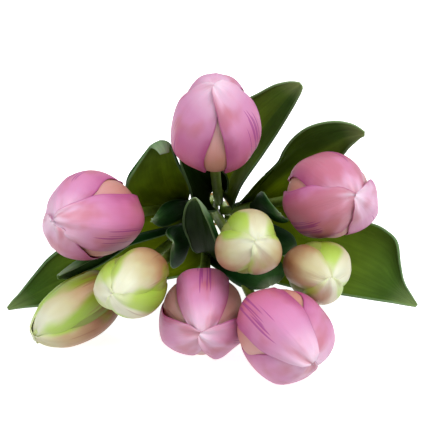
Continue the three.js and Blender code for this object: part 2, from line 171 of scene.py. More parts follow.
@dataclass(frozen=True)
class Path:
    """A curve held as close points and read by its share of length."""

    points: Array

    @classmethod
    def bezier(cls, *control: Array) -> "Path":
        """Lays a cubic curve.

        Args:
            control: The first point, two control points and the last point.

        Returns:
            The curve.
        """
        a, b, c, d = (np.asarray(p, float) for p in control)
        t = np.linspace(0.0, 1.0, BEZIER_POINTS)[:, None]
        u = 1.0 - t
        return cls(u**3 * a + 3 * u * u * t * b + 3 * u * t * t * c + t**3 * d)

    @classmethod
    def through(cls, points: Sequence[Sequence[float]]) -> "Path":
        """Lays a smooth curve that passes through each point in turn.

        Args:
            points: The points to pass.

        Returns:
            The curve.
        """
        p = np.array(points, float)
        ends = np.vstack([p[:1], p, p[-1:]])
        t = np.linspace(0.0, 1.0, RUN_POINTS, endpoint=False)[:, None]
        runs = []
        for a, b, c, d in zip(ends, ends[1:], ends[2:], ends[3:]):
            out, back = (c - a) / 2, (d - b) / 2
            cube = 2 * b - 2 * c + out + back
            square = 3 * c - 3 * b - 2 * out - back
            runs.append(cube * t**3 + square * t * t + out * t + b)
        return cls(np.vstack(runs + [p[-1:]]))

    @property
    def lengths(self) -> Array:
        """Length from the start to each held point."""
        steps = np.linalg.norm(np.diff(self.points, axis=0), axis=1)
        return np.concatenate([[0.0], np.cumsum(steps)])

    def at(self, share: Array) -> Array:
        """Reads points of the curve.

        Args:
            share: Shares of the whole length.

        Returns:
            The points there.
        """
        lengths = self.lengths
        want = np.asarray(share, float) * lengths[-1]
        return np.stack([np.interp(want, lengths, axis) for axis in self.points.T], axis=-1)

    def tangent(self, share: Array) -> Array:
        """Directions at shares of the whole length."""
        before, after = np.subtract(share, TANGENT_STEP), np.add(share, TANGENT_STEP)
        return unit(self.at(np.minimum(after, 1.0)) - self.at(np.maximum(before, 0.0)))


@dataclass(frozen=True)
class Place:
    """A frame of the object: an origin in metres and three directions as columns."""

    origin: Array
    basis: Array

    def put(self, local: Array) -> Array:
        """Points in millimetres of this frame, as metres of the object."""
        return self.origin + np.asarray(local) * MM @ self.basis.T

    def point(self, world: Iterable[float]) -> Array:
        """A point in metres of the object, as millimetres of this frame."""
        return (np.array(list(world)) - self.origin) @ self.basis / MM

    def direction(self, world: Iterable[float]) -> Array:
        """A direction of the object, as a direction of this frame."""
        return np.array(list(world)) @ self.basis


# Meshes


def make_object(name: str, points: Array, faces: Sequence[Sequence[int]]) -> bpy.types.Object:
    """Makes a smooth closed mesh object.

    Args:
        name: Name of the piece.
        points: Its vertices in metres of the object.
        faces: Vertex numbers of each face.

    Returns:
        The new object, linked to the scene.
    """
    mesh = bpy.data.meshes.new(name)
    mesh.from_pydata(points.reshape(-1, 3).tolist(), [], faces)
    edit = bmesh.new()
    edit.from_mesh(mesh)
    bmesh.ops.recalc_face_normals(edit, faces=edit.faces)
    edit.to_mesh(mesh)
    edit.free()
    mesh.polygons.foreach_set("use_smooth", [True] * len(mesh.polygons))
    piece = bpy.data.objects.new(name, mesh)
    bpy.context.scene.collection.objects.link(piece)
    return piece


def note(piece: bpy.types.Object, name: str, values: Array) -> None:
    """Keeps a value or a vector at each vertex, for the finish to read.

    Args:
        piece: Piece that keeps it.
        name: Name that the finish reads it by.
        values: One value or vector for each vertex.
    """
    kind, key = ("FLOAT_VECTOR", "vector") if values.ndim > 1 else ("FLOAT", "value")
    layer = piece.data.attributes.new(name, kind, "POINT")
    layer.data.foreach_set(key, values.astype(np.float32).ravel())


def make_sheet(
    name: str,
    place: Place,
    middle: Surface,
    thickness: Surface,
    notes: dict[str, Surface],
    steps: tuple[int, int],
    seed: float,
) -> bpy.types.Object:
    """Makes a closed curved sheet with rounded margins.

    Each vertex notes its share of length, its place across from -1 to 1 and its face: 1 in the hollow,
    -1 on the back and 0 on the margin.

    Args:
        name: Name of the piece.
        place: Frame that the surface is given in.
        middle: Middle surface for shares of length and places across, in millimetres.
        thickness: Thickness there, in millimetres.
        notes: Shares that the finish reads there, by name.
        steps: Steps along the sheet and across it.
        seed: Number that makes this sheet's pattern its own.

    Returns:
        The new object.
    """
    across = np.sin(np.linspace(-1, 1, steps[1] + 1) * math.pi / 2)
    s, v = np.meshgrid(np.linspace(0, 1, steps[0] + 1), across, indexing="ij")
    nudge = 2e-3
    points = middle(s, v)
    along = middle(np.minimum(s + nudge, 1), v) - middle(np.maximum(s - nudge, 0), v)
    aside = middle(s, np.minimum(v + nudge, 1)) - middle(s, np.maximum(v - nudge, -1))
    normal = unit(np.cross(along, aside))
    half = thickness(s, v)[..., None] / 2
    number = np.arange(s.size).reshape(s.shape)
    loop = np.concatenate([number[:-1, 0], number[-1, :-1], number[:0:-1, -1], number[0, :0:-1]])
    outward = np.zeros_like(points)
    outward[:, 0] -= unit(aside)[:, 0]
    outward[:, -1] += unit(aside)[:, -1]
    outward[0] -= unit(along)[0]
    outward[-1] += unit(along)[-1]
    rim = (points + unit(outward) * half * SHEET_ROUND).reshape(-1, 3)[loop]
    hollow, back = ((points + side * normal * half).reshape(-1, 3) for side in (1, -1))
    corners = [number[:-1, :-1], number[1:, :-1], number[1:, 1:], number[:-1, 1:]]
    quads = np.stack(corners, axis=-1).reshape(-1, 4)
    edge = np.arange(len(loop)) + 2 * s.size
    onward = np.roll(np.arange(len(loop)), -1)
    upper = np.stack([loop, loop[onward], edge[onward], edge], axis=-1)
    lower = np.stack([edge, edge[onward], loop[onward] + s.size, loop + s.size], axis=-1)
    faces = np.vstack([quads, quads[:, ::-1] + s.size, upper, lower]).tolist()
    piece = make_object(name, place.put(np.vstack([hollow, back, rim])), faces)
    flat = np.stack([s.ravel(), v.ravel()], axis=-1)
    where = np.vstack([flat, flat, flat[loop]])
    face = np.concatenate([np.ones(s.size), -np.ones(s.size), np.zeros(len(loop))])
    note(piece, "sheet", np.column_stack([where, face]))
    note(piece, "seed", np.full(len(where), seed))
    for key, share in notes.items():
        values = share(s, v).ravel()
        note(piece, key, np.concatenate([values, values, values[loop]]))
    return piece


def ring_faces(count: int, sides: int, closed: bool) -> list[list[int]]:
    """Joins rings of vertices that follow each other.

    Args:
        count: Number of rings.
        sides: Vertices in a ring.
        closed: True if the last ring joins the first, and False if both are capped.

    Returns:
        Vertex numbers of each face.
    """
    faces = []
    for k in range(count if closed else count - 1):
        low, high = k * sides, (k + 1) % count * sides
        faces += [[low + j, low + (j + 1) % sides, high + (j + 1) % sides, high + j] for j in range(sides)]
    if not closed:
        faces += [list(range(sides))[::-1], list(range((count - 1) * sides, count * sides))]
    return faces


def make_tube(
    name: str, path: Path, radius: Callable[[Array], Array], sides: int, place: Place
) -> bpy.types.Object:
    """Makes a round rod along a path, with rounded ends.

    Args:
        name: Name of the piece.
        path: Middle line in millimetres.
        radius: Radius for shares of length, in millimetres.
        sides: Steps round the rod.
        place: Frame that the path is given in.

    Returns:
        The new object.
    """
    share = np.linspace(0, 1, ROD_RINGS + 1)
    centre, tangent = path.at(share), path.tangent(share)
    out = np.empty_like(centre)
    askew = [0.31, 0.87, 0.38]
    out[0] = unit(np.cross(tangent[0], askew))
    for i in range(1, len(out)):
        out[i] = unit(out[i - 1] - tangent[i] * (out[i - 1] @ tangent[i]))
    aside = np.cross(tangent, out)
    r = radius(share)
    # The outermost rings are drawn in and the next ones moved inwards, which rounds the ends.
    shifts = np.zeros(len(r))
    shifts[0], shifts[-1] = ROD_ROUND * r[0], -ROD_ROUND * r[-1]
    levels = [(0, (1 - ROD_ROUND) * r[0], 0.0), *zip(range(len(r)), r, shifts)]
    levels.append((len(r) - 1, (1 - ROD_ROUND) * r[-1], 0.0))
    turn = np.linspace(0, 2 * math.pi, sides, endpoint=False)
    points = []
    for i, size, shift in levels:
        ring = np.cos(turn)[:, None] * out[i] + np.sin(turn)[:, None] * aside[i]
        points.append(centre[i] + tangent[i] * shift + size * ring)
    return make_object(name, place.put(np.vstack(points)), ring_faces(len(levels), sides, False))


def make_turning(name: str, place: Place, profile: Knots, closed: bool) -> bpy.types.Object:
    """Makes a piece turned about the z axis of its frame.

    Args:
        name: Name of the piece.
        place: Its frame.
        profile: Pairs of radius and height in millimetres.
        closed: True for a ring, whose profile joins up, and False for a body that ends on the axis.

    Returns:
        The new object.
    """
    turn = np.linspace(0, 2 * math.pi, TURNING_SIDES, endpoint=False)
    c, s = np.cos(turn), np.sin(turn)
    points = [np.column_stack([r * c, r * s, np.full(TURNING_SIDES, z)]) for r, z in profile]
    faces = ring_faces(len(profile), TURNING_SIDES, closed)
    piece = make_object(name, place.put(np.vstack(points)), faces)
    bevel = piece.modifiers.new("soft_edges", "BEVEL")
    bevel.width = SOFT_EDGE * MM
    bevel.segments = 2
    bevel.limit_method = "ANGLE"
    return piece


# Finishes


def linear(code: str) -> Colour:
    """Turns an sRGB hex value into linear colour.

    Args:
        code: The hex value, with its leading mark.

    Returns:
        Red, green and blue, and full opacity.
    """
    parts = [int(code[i : i + 2], 16) / 255 for i in (1, 3, 5)]
    r, g, b = (c / 12.92 if c <= 0.04045 else ((c + 0.055) / 1.055) ** 2.4 for c in parts)
    return r, g, b, 1.0


# Settings that several nodes share: a soft step, and one colour laid over another. A map range takes its
# value, the span that is read and the span that is given as inputs 0 to 4. A mix takes its share and two
# colours as inputs 0, 6 and 7, and gives its colour as output 2.
SOFT = {"interpolation_type": "SMOOTHSTEP"}
LAID = {"data_type": "RGBA", "blend_type": "MIX"}

# Blender's names of the nodes that the finishes use most
MATH, MAP, MIX = "ShaderNodeMath", "ShaderNodeMapRange", "ShaderNodeMix"
NOTE, RAMP, NOISE = "ShaderNodeAttribute", "ShaderNodeValToRGB", "ShaderNodeTexNoise"
VECTOR = "ShaderNodeVectorMath"

# How far light runs in foam and coated cloth
LIGHT_RUN = 2.0 * MM


def add_node(
    tree: bpy.types.NodeTree,
    kind: str,
    inputs: dict[str | int, object] | None = None,
    out: str | int = 0,
    stops: Stops = (),
    **settings: object,
) -> Socket:
    """Adds a node with its settings, values and links.

    Args:
        tree: Node tree that takes the node.
        kind: Blender's name of the node.
        inputs: Values or sockets for its inputs, by name or number.
        out: Output that is wanted, by name or number.
        stops: Pairs of position and hex colour, for a colour ramp.
        settings: Properties of the node.

    Returns:
        The wanted output.
    """
    node = tree.nodes.new(kind)
    for key, value in settings.items():
        setattr(node, key, value)
    for key, value in (inputs or {}).items():
        if isinstance(value, Socket):
            tree.links.new(value, node.inputs[key])
        else:
            node.inputs[key].default_value = value
    for i, (position, code) in enumerate(stops):
        ramp = node.color_ramp
        spot = ramp.elements[i] if i < 2 else ramp.elements.new(position)
        spot.position = position
        spot.color = linear(code)
    return node.outputs[out]


@dataclass(frozen=True)
class SheetNotes:
    """What the vertices of a sheet note, as sockets of a finish's node tree."""

    tree: bpy.types.NodeTree
    spot: Socket
    seed: Socket
    tint: Socket
    along: Socket
    across: Socket
    face: Socket

    @classmethod
    def read(cls, tree: bpy.types.NodeTree) -> "SheetNotes":
        """Reads the notes into a node tree.

        Args:
            tree: Node tree of the finish.

        Returns:
            The notes, with the place across as its distance from the middle.
        """
        spot = add_node(tree, NOTE, out="Vector", attribute_name="sheet")
        seed = add_node(tree, NOTE, out="Fac", attribute_name="seed")
        tint = add_node(tree, NOTE, out="Fac", attribute_name="tint")
        along, aside, face = add_node(tree, "ShaderNodeSeparateXYZ", {0: spot}).node.outputs
        across = add_node(tree, MATH, {0: aside}, operation="ABSOLUTE")
        return cls(tree, spot, seed, tint, along, across, face)

    def noise(self, along: float, across: float, detail: float) -> Socket:
        """Draws noise that is stretched over the sheet.

        Args:
            along: Steps along the sheet.
            across: Steps across half of it.
            detail: How many finer layers the noise has.

        Returns:
            The noise as a share.
        """
        steps = {0: self.spot, 1: (along, across, 0.0)}
        drawn = add_node(self.tree, VECTOR, steps, operation="MULTIPLY")
        values = {"Vector": drawn, "W": self.seed, "Scale": 1.0, "Detail": detail}
        return add_node(self.tree, NOISE, values, noise_dimensions="4D")


@dataclass(frozen=True)
class Finish:
    """A material: what it is, how its surface was made and how it shines."""

    name: str
    slot: str
    roughness: float
    ior: float = 1.45
    metallic: float = 0.0

    def paint(self) -> bpy.types.Material:
        """Makes the material once, and then shares it.

        Returns:
            The finished material.
        """
        known = bpy.data.materials.get(self.name)
        if known:
            return known
        material = bpy.data.materials.new(self.name)
        material.use_nodes = True
        shader = material.node_tree.nodes["Principled BSDF"]
        shader.inputs["Roughness"].default_value = self.roughness
        shader.inputs["Metallic"].default_value = self.metallic
        # A metal keeps the default.
        if not self.metallic:
            shader.inputs["IOR"].default_value = self.ior
        self.draw(material.node_tree, shader)
        return material

    def draw(self, tree: bpy.types.NodeTree, shader: bpy.types.Node) -> None:
        """Draws the pattern of the finish into its node tree."""
        raise NotImplementedError

    def lay_skin(
        self, shader: bpy.types.Node, body: Socket, relief: Socket, depth: float, strength: float
    ) -> None:
        """Gives the shader its colour and the relief of its surface.

        Args:
            shader: Shader of the finish.
            body: Its colour.
            relief: Height of its surface, as a share.
            depth: Height of a full step of the relief, in millimetres.
            strength: How far the relief shows.
        """
        tree = shader.id_data
        tree.links.new(body, shader.inputs["Base Color"])
        heights = {"Height": relief, "Strength": strength, "Distance": depth * MM}
        tree.links.new(add_node(tree, "ShaderNodeBump", heights), shader.inputs["Normal"])

    def let_light_in(self, shader: bpy.types.Node, weight: float, radius: tuple[float, float, float]) -> None:
        """Lets light pass into the thin wall.

        Args:
            shader: Shader of the finish.
            weight: Share of the light that passes in.
            radius: How far red, green and blue run, as shares.
        """
        shader.inputs["Subsurface Weight"].default_value = weight
        shader.inputs["Subsurface Radius"].default_value = radius
        shader.inputs["Subsurface Scale"].default_value = LIGHT_RUN

    def dress(self, piece: bpy.types.Object) -> None:
        """Gives a piece this finish.

        Args:
            piece: Piece to dress.
        """
        piece.data.materials.clear()
        piece.data.materials.append(self.paint())


@dataclass(frozen=True)
class BloomPetalFinish(Finish):
    """Polyurethane foam, moulded thin and sprayed: soft pink with a satin skin and airbrushed streaks."""

    along: Stops = (
        (0.0, "#B85450"), (0.2, "#CE687A"), (0.34, "#D07096"), (0.55, "#CE78A8"), (0.78, "#D28EB8"),
        (0.92, "#E2B4D0"), (1.0, "#EED2E2"),
    )
    warm: str = "#C06C7C"
    margin: str = "#AE4886"
    streak: str = "#A23A8C"
    streak_share: float = 0.8
    glow: float = 0.25

    def draw(self, tree: bpy.types.NodeTree, shader: bpy.types.Node) -> None:
        """Draws the run of colour to the tip, darker at the base partly as painted shade, the deeper margins
        and the streaks from the base.

        Args:
            tree: Node tree of the finish.
            shader: Its shader.
        """
        sheet = SheetNotes.read(tree)
        # The run from a salmon base to a pale tip is partly the foam's own colour and partly painted light:
        # painted shade deep in the cup, paler towards the lit tip.
        ramp = add_node(tree, RAMP, {0: sheet.along}, stops=self.along)
        # Sprayed clouds of a warmer pink, about 20 mm across on a petal of 85 by 46 mm.
        cloud = sheet.noise(4.0, 1.3, 2.0)
        warmth = add_node(tree, MATH, {0: sheet.tint, 1: 0.5, 2: cloud}, operation="MULTIPLY_ADD")
        warm = add_node(tree, MAP, {0: warmth, 1: 0.7, 2: 0.95, 3: 0.0, 4: 0.75}, **SOFT)
        body = add_node(tree, MIX, {0: warm, 6: ramp, 7: linear(self.warm)}, 2, **LAID)
        # Deeper margins fade out towards the pale tip.
        drift = add_node(tree, MATH, {0: cloud, 1: 0.7, 2: -0.35}, operation="MULTIPLY_ADD")
        reach = add_node(tree, MATH, {0: sheet.across, 1: drift}, operation="ADD")
        edge = add_node(tree, MAP, {0: reach, 1: 0.5, 2: 1.05, 3: 0.0, 4: 0.8}, **SOFT)
        fade = add_node(tree, MAP, {0: sheet.along, 1: 0.5, 2: 0.92, 3: 1.0, 4: 0.2}, **SOFT)
        edge = add_node(tree, MATH, {0: edge, 1: fade}, operation="MULTIPLY")
        body = add_node(tree, MIX, {0: edge, 6: body, 7: linear(self.margin)}, 2, **LAID)
        rim = add_node(tree, MAP, {0: sheet.across, 1: 0.94, 2: 0.99, 3: 0.0, 4: 0.7}, **SOFT)
        body = add_node(tree, MIX, {0: rim, 6: body, 7: linear(self.margin)}, 2, **LAID)
        # Streaks are lines about 0.8 mm wide, in the group that the petal notes.
        lines = sheet.noise(1.6, 17.0, 0.0)
        group = add_node(tree, NOTE, out="Fac", attribute_name="streaks")
        limit = add_node(tree, MATH, {0: group, 1: -0.34, 2: 0.845}, operation="MULTIPLY_ADD")
        over = add_node(tree, MATH, {0: lines, 1: limit}, operation="SUBTRACT")
        streak = add_node(tree, MAP, {0: over, 1: 0.0, 2: 0.05, 3: 0.0, 4: self.streak_share}, **SOFT)
        body = add_node(tree, MIX, {0: streak, 6: body, 7: linear(self.streak)}, 2, **LAID)
        # Moulded ribs run along the petal, about 1.5 mm apart.
        self.lay_skin(shader, body, sheet.noise(2.0, 17.0, 2.0), 0.5, 0.45)
        self.let_light_in(shader, self.glow, (1.0, 0.35, 0.4))


@dataclass(frozen=True)
class BudPetalFinish(Finish):
    """Polyurethane foam, moulded thin and sprayed: cream with lime margins and a rosy brown blush."""

    cream: Stops = (
        (0.0, "#5E4C14"), (0.16, "#80542C"), (0.36, "#A2704C"), (0.56, "#BE9E74"), (0.74, "#CCC498"),
        (1.0, "#DEDFC4"),
    )
    lime: Stops = ((0.0, "#5C6010"), (0.25, "#86981E"), (0.6, "#98BE30"), (0.85, "#B2D056"), (1.0, "#D2E09C"))
    lime_reach: float = 0.5
    lime_fade: float = 0.35
    line: str = "#8C4C38"
    glow: float = 0.2

    def draw(self, tree: bpy.types.NodeTree, shader: bpy.types.Node) -> None:
        """Draws the run from a rosy brown base, dark olive at the foot as painted shade, to a cream tip, and
        the lime along the margins.

        Args:
            tree: Node tree of the finish.
            shader: Its shader.
        """
        sheet = SheetNotes.read(tree)
        # Sprayed clouds, about 15 mm across on a petal of 72 by 34 mm.
        cloud = sheet.noise(3.0, 1.3, 2.0)
        shift = add_node(tree, MATH, {0: sheet.tint, 1: 0.4, 2: -0.45}, operation="MULTIPLY_ADD")
        drift = add_node(tree, MATH, {0: cloud, 1: 0.5, 2: shift}, operation="MULTIPLY_ADD")
        height = add_node(tree, MATH, {0: sheet.along, 1: drift}, operation="ADD")
        # Both runs start dark olive at the foot, which is painted shade low on the bud; the rosy brown blush
        # above it is the foam's own colour.
        body = add_node(tree, RAMP, {0: height}, stops=self.cream)
        lime = add_node(tree, RAMP, {0: sheet.along}, stops=self.lime)
        # The lime reaches in from the margins in patches, further on a greener petal.
        patch = sheet.noise(2.2, 1.1, 1.0)
        greener = add_node(tree, MATH, {0: sheet.tint, 1: 0.9, 2: -1.35}, operation="MULTIPLY_ADD")
        patch = add_node(tree, MATH, {0: patch, 1: 1.8, 2: greener}, operation="MULTIPLY_ADD")
        reach = add_node(tree, MATH, {0: sheet.across, 1: patch}, operation="ADD")
        full = self.lime_reach + self.lime_fade
        edge = add_node(tree, MAP, {0: reach, 1: self.lime_reach, 2: full, 3: 0.0, 4: 0.95}, **SOFT)
        fade = add_node(tree, MAP, {0: sheet.along, 1: 0.8, 2: 1.0, 3: 1.0, 4: 0.45}, **SOFT)
        edge = add_node(tree, MATH, {0: edge, 1: fade}, operation="MULTIPLY")
        body = add_node(tree, MIX, {0: edge, 6: body, 7: lime}, 2, **LAID)
        # Faint rosy lines about 1 mm wide on the lower half.
        lines = sheet.noise(2.0, 11.0, 0.0)
        limit = add_node(tree, MAP, {0: sheet.along, 1: 0.2, 2: 0.7, 3: 0.56, 4: 0.75}, **SOFT)
        over = add_node(tree, MATH, {0: lines, 1: limit}, operation="SUBTRACT")
        drawn = add_node(tree, MAP, {0: over, 1: 0.0, 2: 0.06, 3: 0.0, 4: 0.35}, **SOFT)
        body = add_node(tree, MIX, {0: drawn, 6: body, 7: linear(self.line)}, 2, **LAID)
        # Moulded ribs run along the petal, about 1.5 mm apart.
        self.lay_skin(shader, body, sheet.noise(2.0, 13.0, 2.0), 0.5, 0.45)
        self.let_light_in(shader, self.glow, (0.8, 0.6, 0.3))


@dataclass(frozen=True)
class LeafFinish(Finish):
    """Polyurethane-coated cloth, pressed in a mould: deep green with parallel veins and a pale rim, with
    painted light in olive and painted shade towards the foot.
    """

    hollow: Stops = ((0.0, "#0E1A06"), (0.3, "#10220A"), (0.7, "#1A3812"), (0.9, "#30521E"), (1.0, "#7C945A"))
    lit: Stops = ((0.0, "#526208"), (0.3, "#869A0E"), (0.6, "#809E24"), (0.88, "#6A8C34"), (1.0, "#A4B87C"))
    back: Stops = ((0.0, "#1A3410"), (0.3, "#153614"), (0.7, "#1A421A"), (0.88, "#3E6834"), (1.0, "#98AE8C"))
    rim: str = "#7C9A6A"
    shine: float = 0.012
    glow: float = 0.12

    def draw(self, tree: bpy.types.NodeTree, shader: bpy.types.Node) -> None:
        """Draws the two faces, the veins and the pale rim.

        Args:
            tree: Node tree of the finish.
            shader: Its shader.
        """
        sheet = SheetNotes.read(tree)
        # Painted shade: the hollow and the back darken to near black towards the foot, deep in the bunch.
        hollow = add_node(tree, RAMP, {0: sheet.along}, stops=self.hollow)
        # Painted light: the lit run lays olive into the hollow, by the share that the leaf notes for each
        # half.
        lit = add_node(tree, RAMP, {0: sheet.along}, stops=self.lit)
        hollow = add_node(tree, MIX, {0: sheet.tint, 6: hollow, 7: lit}, 2, **LAID)
        back = add_node(tree, RAMP, {0: sheet.along}, stops=self.back)
        inside = add_node(tree, MAP, {0: sheet.face, 1: -0.5, 2: 0.5, 3: 0.0, 4: 1.0}, **SOFT)
        body = add_node(tree, MIX, {0: inside, 6: back, 7: hollow}, 2, **LAID)
        # A blade is about 40 mm across, so 24 steps give veins 1.7 mm apart.
        vein = sheet.noise(1.5, 12.0, 2.0)
        cloud = sheet.noise(5.0, 1.6, 3.0)
        both = add_node(tree, MATH, {0: vein, 1: 0.35, 2: cloud}, operation="MULTIPLY_ADD")
        shade = add_node(tree, MAP, {0: both, 1: 0.45, 2: 0.95, 3: 0.72, 4: 1.22}, **SOFT)
        shaded = {0: 1.0, 6: body, 7: shade}
        body = add_node(tree, MIX, shaded, 2, data_type="RGBA", blend_type="MULTIPLY")
        edge = add_node(tree, MAP, {0: sheet.across, 1: 0.955, 2: 0.995, 3: 0.0, 4: 0.6}, **SOFT)
        body = add_node(tree, MIX, {0: edge, 6: body, 7: linear(self.rim)}, 2, **LAID)
        self.lay_skin(shader, body, vein, 0.5, 0.5)
        self.let_light_in(shader, self.glow, (0.6, 1.0, 0.1))
        # The coating is dull, so that leaves seen along their face stay green under the white sky.
        shader.inputs["Specular IOR Level"].default_value = self.shine


@dataclass(frozen=True)
class MottledFinish(Finish):
    """An even coloured body whose moulded, drawn or cut surface shows a little mottling."""

    pale: str = "#FFFFFF"
    deep: str = "#808080"
    grain: float = 1.0
    glow: float = 0.0

    def draw(self, tree: bpy.types.NodeTree, shader: bpy.types.Node) -> None:
        """Draws the mottling, as large as the grain in millimetres.

        Args:
            tree: Node tree of the finish.
            shader: Its shader.
        """
        spot = add_node(tree, "ShaderNodeTexCoord", out="Object")
        noise = add_node(tree, NOISE, {"Vector": spot, "Scale": 1.0 / (self.grain * MM), "Detail": 3.0})
        colour = add_node(tree, RAMP, {0: noise}, stops=((0.3, self.deep), (0.7, self.pale)))
        self.lay_skin(shader, colour, noise, 0.15, 0.4)
        shader.inputs["Emission Color"].default_value = linear("#FFFFFF")
        shader.inputs["Emission Strength"].default_value = self.glow


# Moulded foam under spray: satin pink that lightens to the tip, partly as painted shade at the base, with
# airbrushed streaks.
BLOOM_OUTER = BloomPetalFinish("sprayed_foam_bloom_petal", "bloom_outer_petal", 0.42)
# The same foam in the gaps: peach and duller, and darker towards the base, partly as painted shade in the
# gaps.
BLOOM_INNER = BloomPetalFinish(
    "sprayed_foam_inner_bloom_petal",
    "bloom_inner_petal",
    0.5,
    along=((0.0, "#9C5A4C"), (0.2, "#BC766A"), (0.5, "#CC9088"), (0.8, "#D8A8AE"), (1.0, "#E2BECC")),
    warm="#C48C78",
    margin="#C68470",
    streak="#9C544C",
    streak_share=0.3,
)
# Moulded foam under spray: satin cream on a rosy brown base that darkens to olive at the foot as painted
# shade, with lime along the margins.
BUD_OUTER = BudPetalFinish("sprayed_foam_bud_petal", "bud_outer_petal", 0.42)
# The same foam in a bud's gaps: green from the base to a pale tip.
BUD_INNER = BudPetalFinish(
    "sprayed_foam_inner_bud_petal",
    "bud_inner_petal",
    0.5,
    cream=((0.0, "#565C14"), (0.3, "#748224"), (0.7, "#98A850"), (1.0, "#C6CC98")),
    lime_reach=0.3,
)
# Pressed coated cloth: dull deep green with fine veins, and olive where light falls in.
LEAF = LeafFinish("pressed_coated_cloth_leaf", "leaf", 0.45)
# Moulded polyethylene: a half matt yellow green with a faint cloudiness.
STEM = MottledFinish(
    "moulded_polyethylene_stem", "stem_sleeve", 0.5, 1.51, pale="#8FA63A", deep="#6E8A2C", grain=3.0
)
# Moulded foam: dull, pale and slightly open in its grain.
BLOOM_CORE, BUD_CORE = (
    MottledFinish(f"moulded_foam_{kind}_core", f"{kind}_core", 0.7, pale="#B7BF68", deep="#98A24C", grain=2.0)
    for kind in ("bloom", "bud")
)
# Drawn steel: grey metal with a soft shine.
WIRE = MottledFinish(
    "drawn_steel_wire", "stem_wire", 0.38, metallic=1.0, pale="#A2A5A6", deep="#85888A", grain=0.6
)
# Cut rubber: dry tan with a fine grain.
RUBBER = MottledFinish(
    "cut_rubber_band", "elastic_band", 0.75, 1.52, pale="#BE9560", deep="#A57C46", grain=0.8
)
# Opal acrylic, lit from below: even white that only takes contact shadows.
FLOOR = MottledFinish(
    "backlit_opal_acrylic", "", 0.6, 1.49, pale="#F6F6F6", deep="#F3F3F3", grain=2.0, glow=0.82
)


# The bunch and its pieces


class HeadKind(Enum):
    """The two kinds of tulip head."""

    BLOOM = "bloom"
    BUD = "bud"


class Whorl(Enum):
    """The two rings of three petals."""

    OUTER = 0
    INNER = 1


@dataclass(frozen=True)
class HeadSizes:
    """Sizes of one kind of head, in millimetres.

    Shares give a petal's outline as shares of radius and length, and the widths are half widths along
    it. Cup is how round a petal's section is, and lap, flute and inner_swell how far its sides lie over
    the next petal, its waves stand out and an inner petal bulges into the gaps.
    """

    radius: float
    length: float
    tuck: float
    wall: float
    inner_lift: float
    tip_drop: float
    shares: Knots
    outer_width: Knots
    inner_width: Knots
    cup: float
    lap: float
    flute: float
    inner_swell: float
    outer_finish: Finish
    inner_finish: Finish
    core_finish: Finish

    def outline(self, whorl: Whorl, stretch: float, bulge: float, tip_reach: float) -> Path:
        """Outline of a petal's middle, as radius and height.

        Args:
            whorl: Ring that the petal belongs to.
            stretch: Its length as a share of the usual length.
            bulge: Its radius as a share of the usual radius.
            tip_reach: How far its tip passes the head's axis.

        Returns:
            The outline from the claw to the tip.
        """
        layer = whorl.value
        radius = (self.radius - self.wall / 2 - layer * (self.wall + self.tuck + LAYER_GAP)) * bulge
        length = (self.length - layer * self.tip_drop) * stretch
        lift = layer * self.inner_lift
        height = CLAW_HEIGHT + WASHER_PITCH * layer
        points = [(claw, height) for claw in CLAW_RADII]
        points += [(r * radius, z * length + lift * (1 - z)) for r, z in self.shares]
        points.append((-tip_reach, points[-1][1] + TIP_RISE))
        return Path.through(points)


HEADS = {
    HeadKind.BLOOM: HeadSizes(
        radius=24.5,
        length=58.0,
        tuck=3.8,
        wall=0.9,
        inner_lift=1.6,
        tip_drop=4.5,
        shares=((0.46, -0.03), (0.78, 0.03), (0.98, 0.22), (0.99, 0.44), (0.84, 0.68), (0.46, 0.89),
                (0.1, 0.985)),
        outer_width=(
            (0.0, 3.0), (0.06, 7.0), (0.12, 11.5), (0.2, 15.4), (0.3, 17.2), (0.4, 17.8), (0.5, 17.8),
            (0.6, 17.6), (0.68, 17.0), (0.75, 15.8), (0.82, 13.8), (0.88, 11.6), (0.94, 8.6), (0.98, 5.2),
            (1.0, 2.2),
        ),
        inner_width=(
            (0.0, 4.8), (0.06, 10.5), (0.12, 16.0), (0.2, 18.0), (0.3, 18.6), (0.4, 18.8), (0.5, 18.6),
            (0.6, 17.7), (0.7, 16.0), (0.8, 12.9), (0.9, 8.6), (1.0, 2.0),
        ),
        cup=0.74,
        lap=1.0,
        flute=0.85,
        inner_swell=2.4,
        outer_finish=BLOOM_OUTER,
        inner_finish=BLOOM_INNER,
        core_finish=BLOOM_CORE,
    ),
    HeadKind.BUD: HeadSizes(
        radius=17.6,
        length=52.0,
        tuck=2.2,
        wall=0.9,
        inner_lift=1.6,
        tip_drop=4.0,
        shares=((0.52, -0.01), (0.84, 0.09), (1.0, 0.3), (0.98, 0.5), (0.81, 0.72), (0.48, 0.89),
                (0.14, 0.98)),
        outer_width=(
            (0.0, 3.0), (0.06, 6.5), (0.12, 10.3), (0.2, 13.4), (0.3, 15.6), (0.4, 17.0), (0.5, 17.3),
            (0.6, 16.7), (0.7, 15.3), (0.8, 12.9), (0.88, 10.2), (0.94, 7.2), (0.98, 4.2), (1.0, 1.8),
        ),
        inner_width=(
            (0.0, 4.6), (0.06, 7.2), (0.12, 10.3), (0.2, 12.0), (0.3, 13.0), (0.5, 13.4), (0.6, 12.7),
            (0.7, 11.5), (0.8, 9.4), (0.9, 6.2), (1.0, 1.8),
        ),
        cup=0.64,
        lap=0.45,
        flute=0.5,
        inner_swell=1.5,
        outer_finish=BUD_OUTER,
        inner_finish=BUD_INNER,
        core_finish=BUD_CORE,
    ),
}

SPREAD = 0.84 * HEADS[HeadKind.BLOOM].radius
JOINTS = {joint["name"]: joint for joint in frame["joints"]}


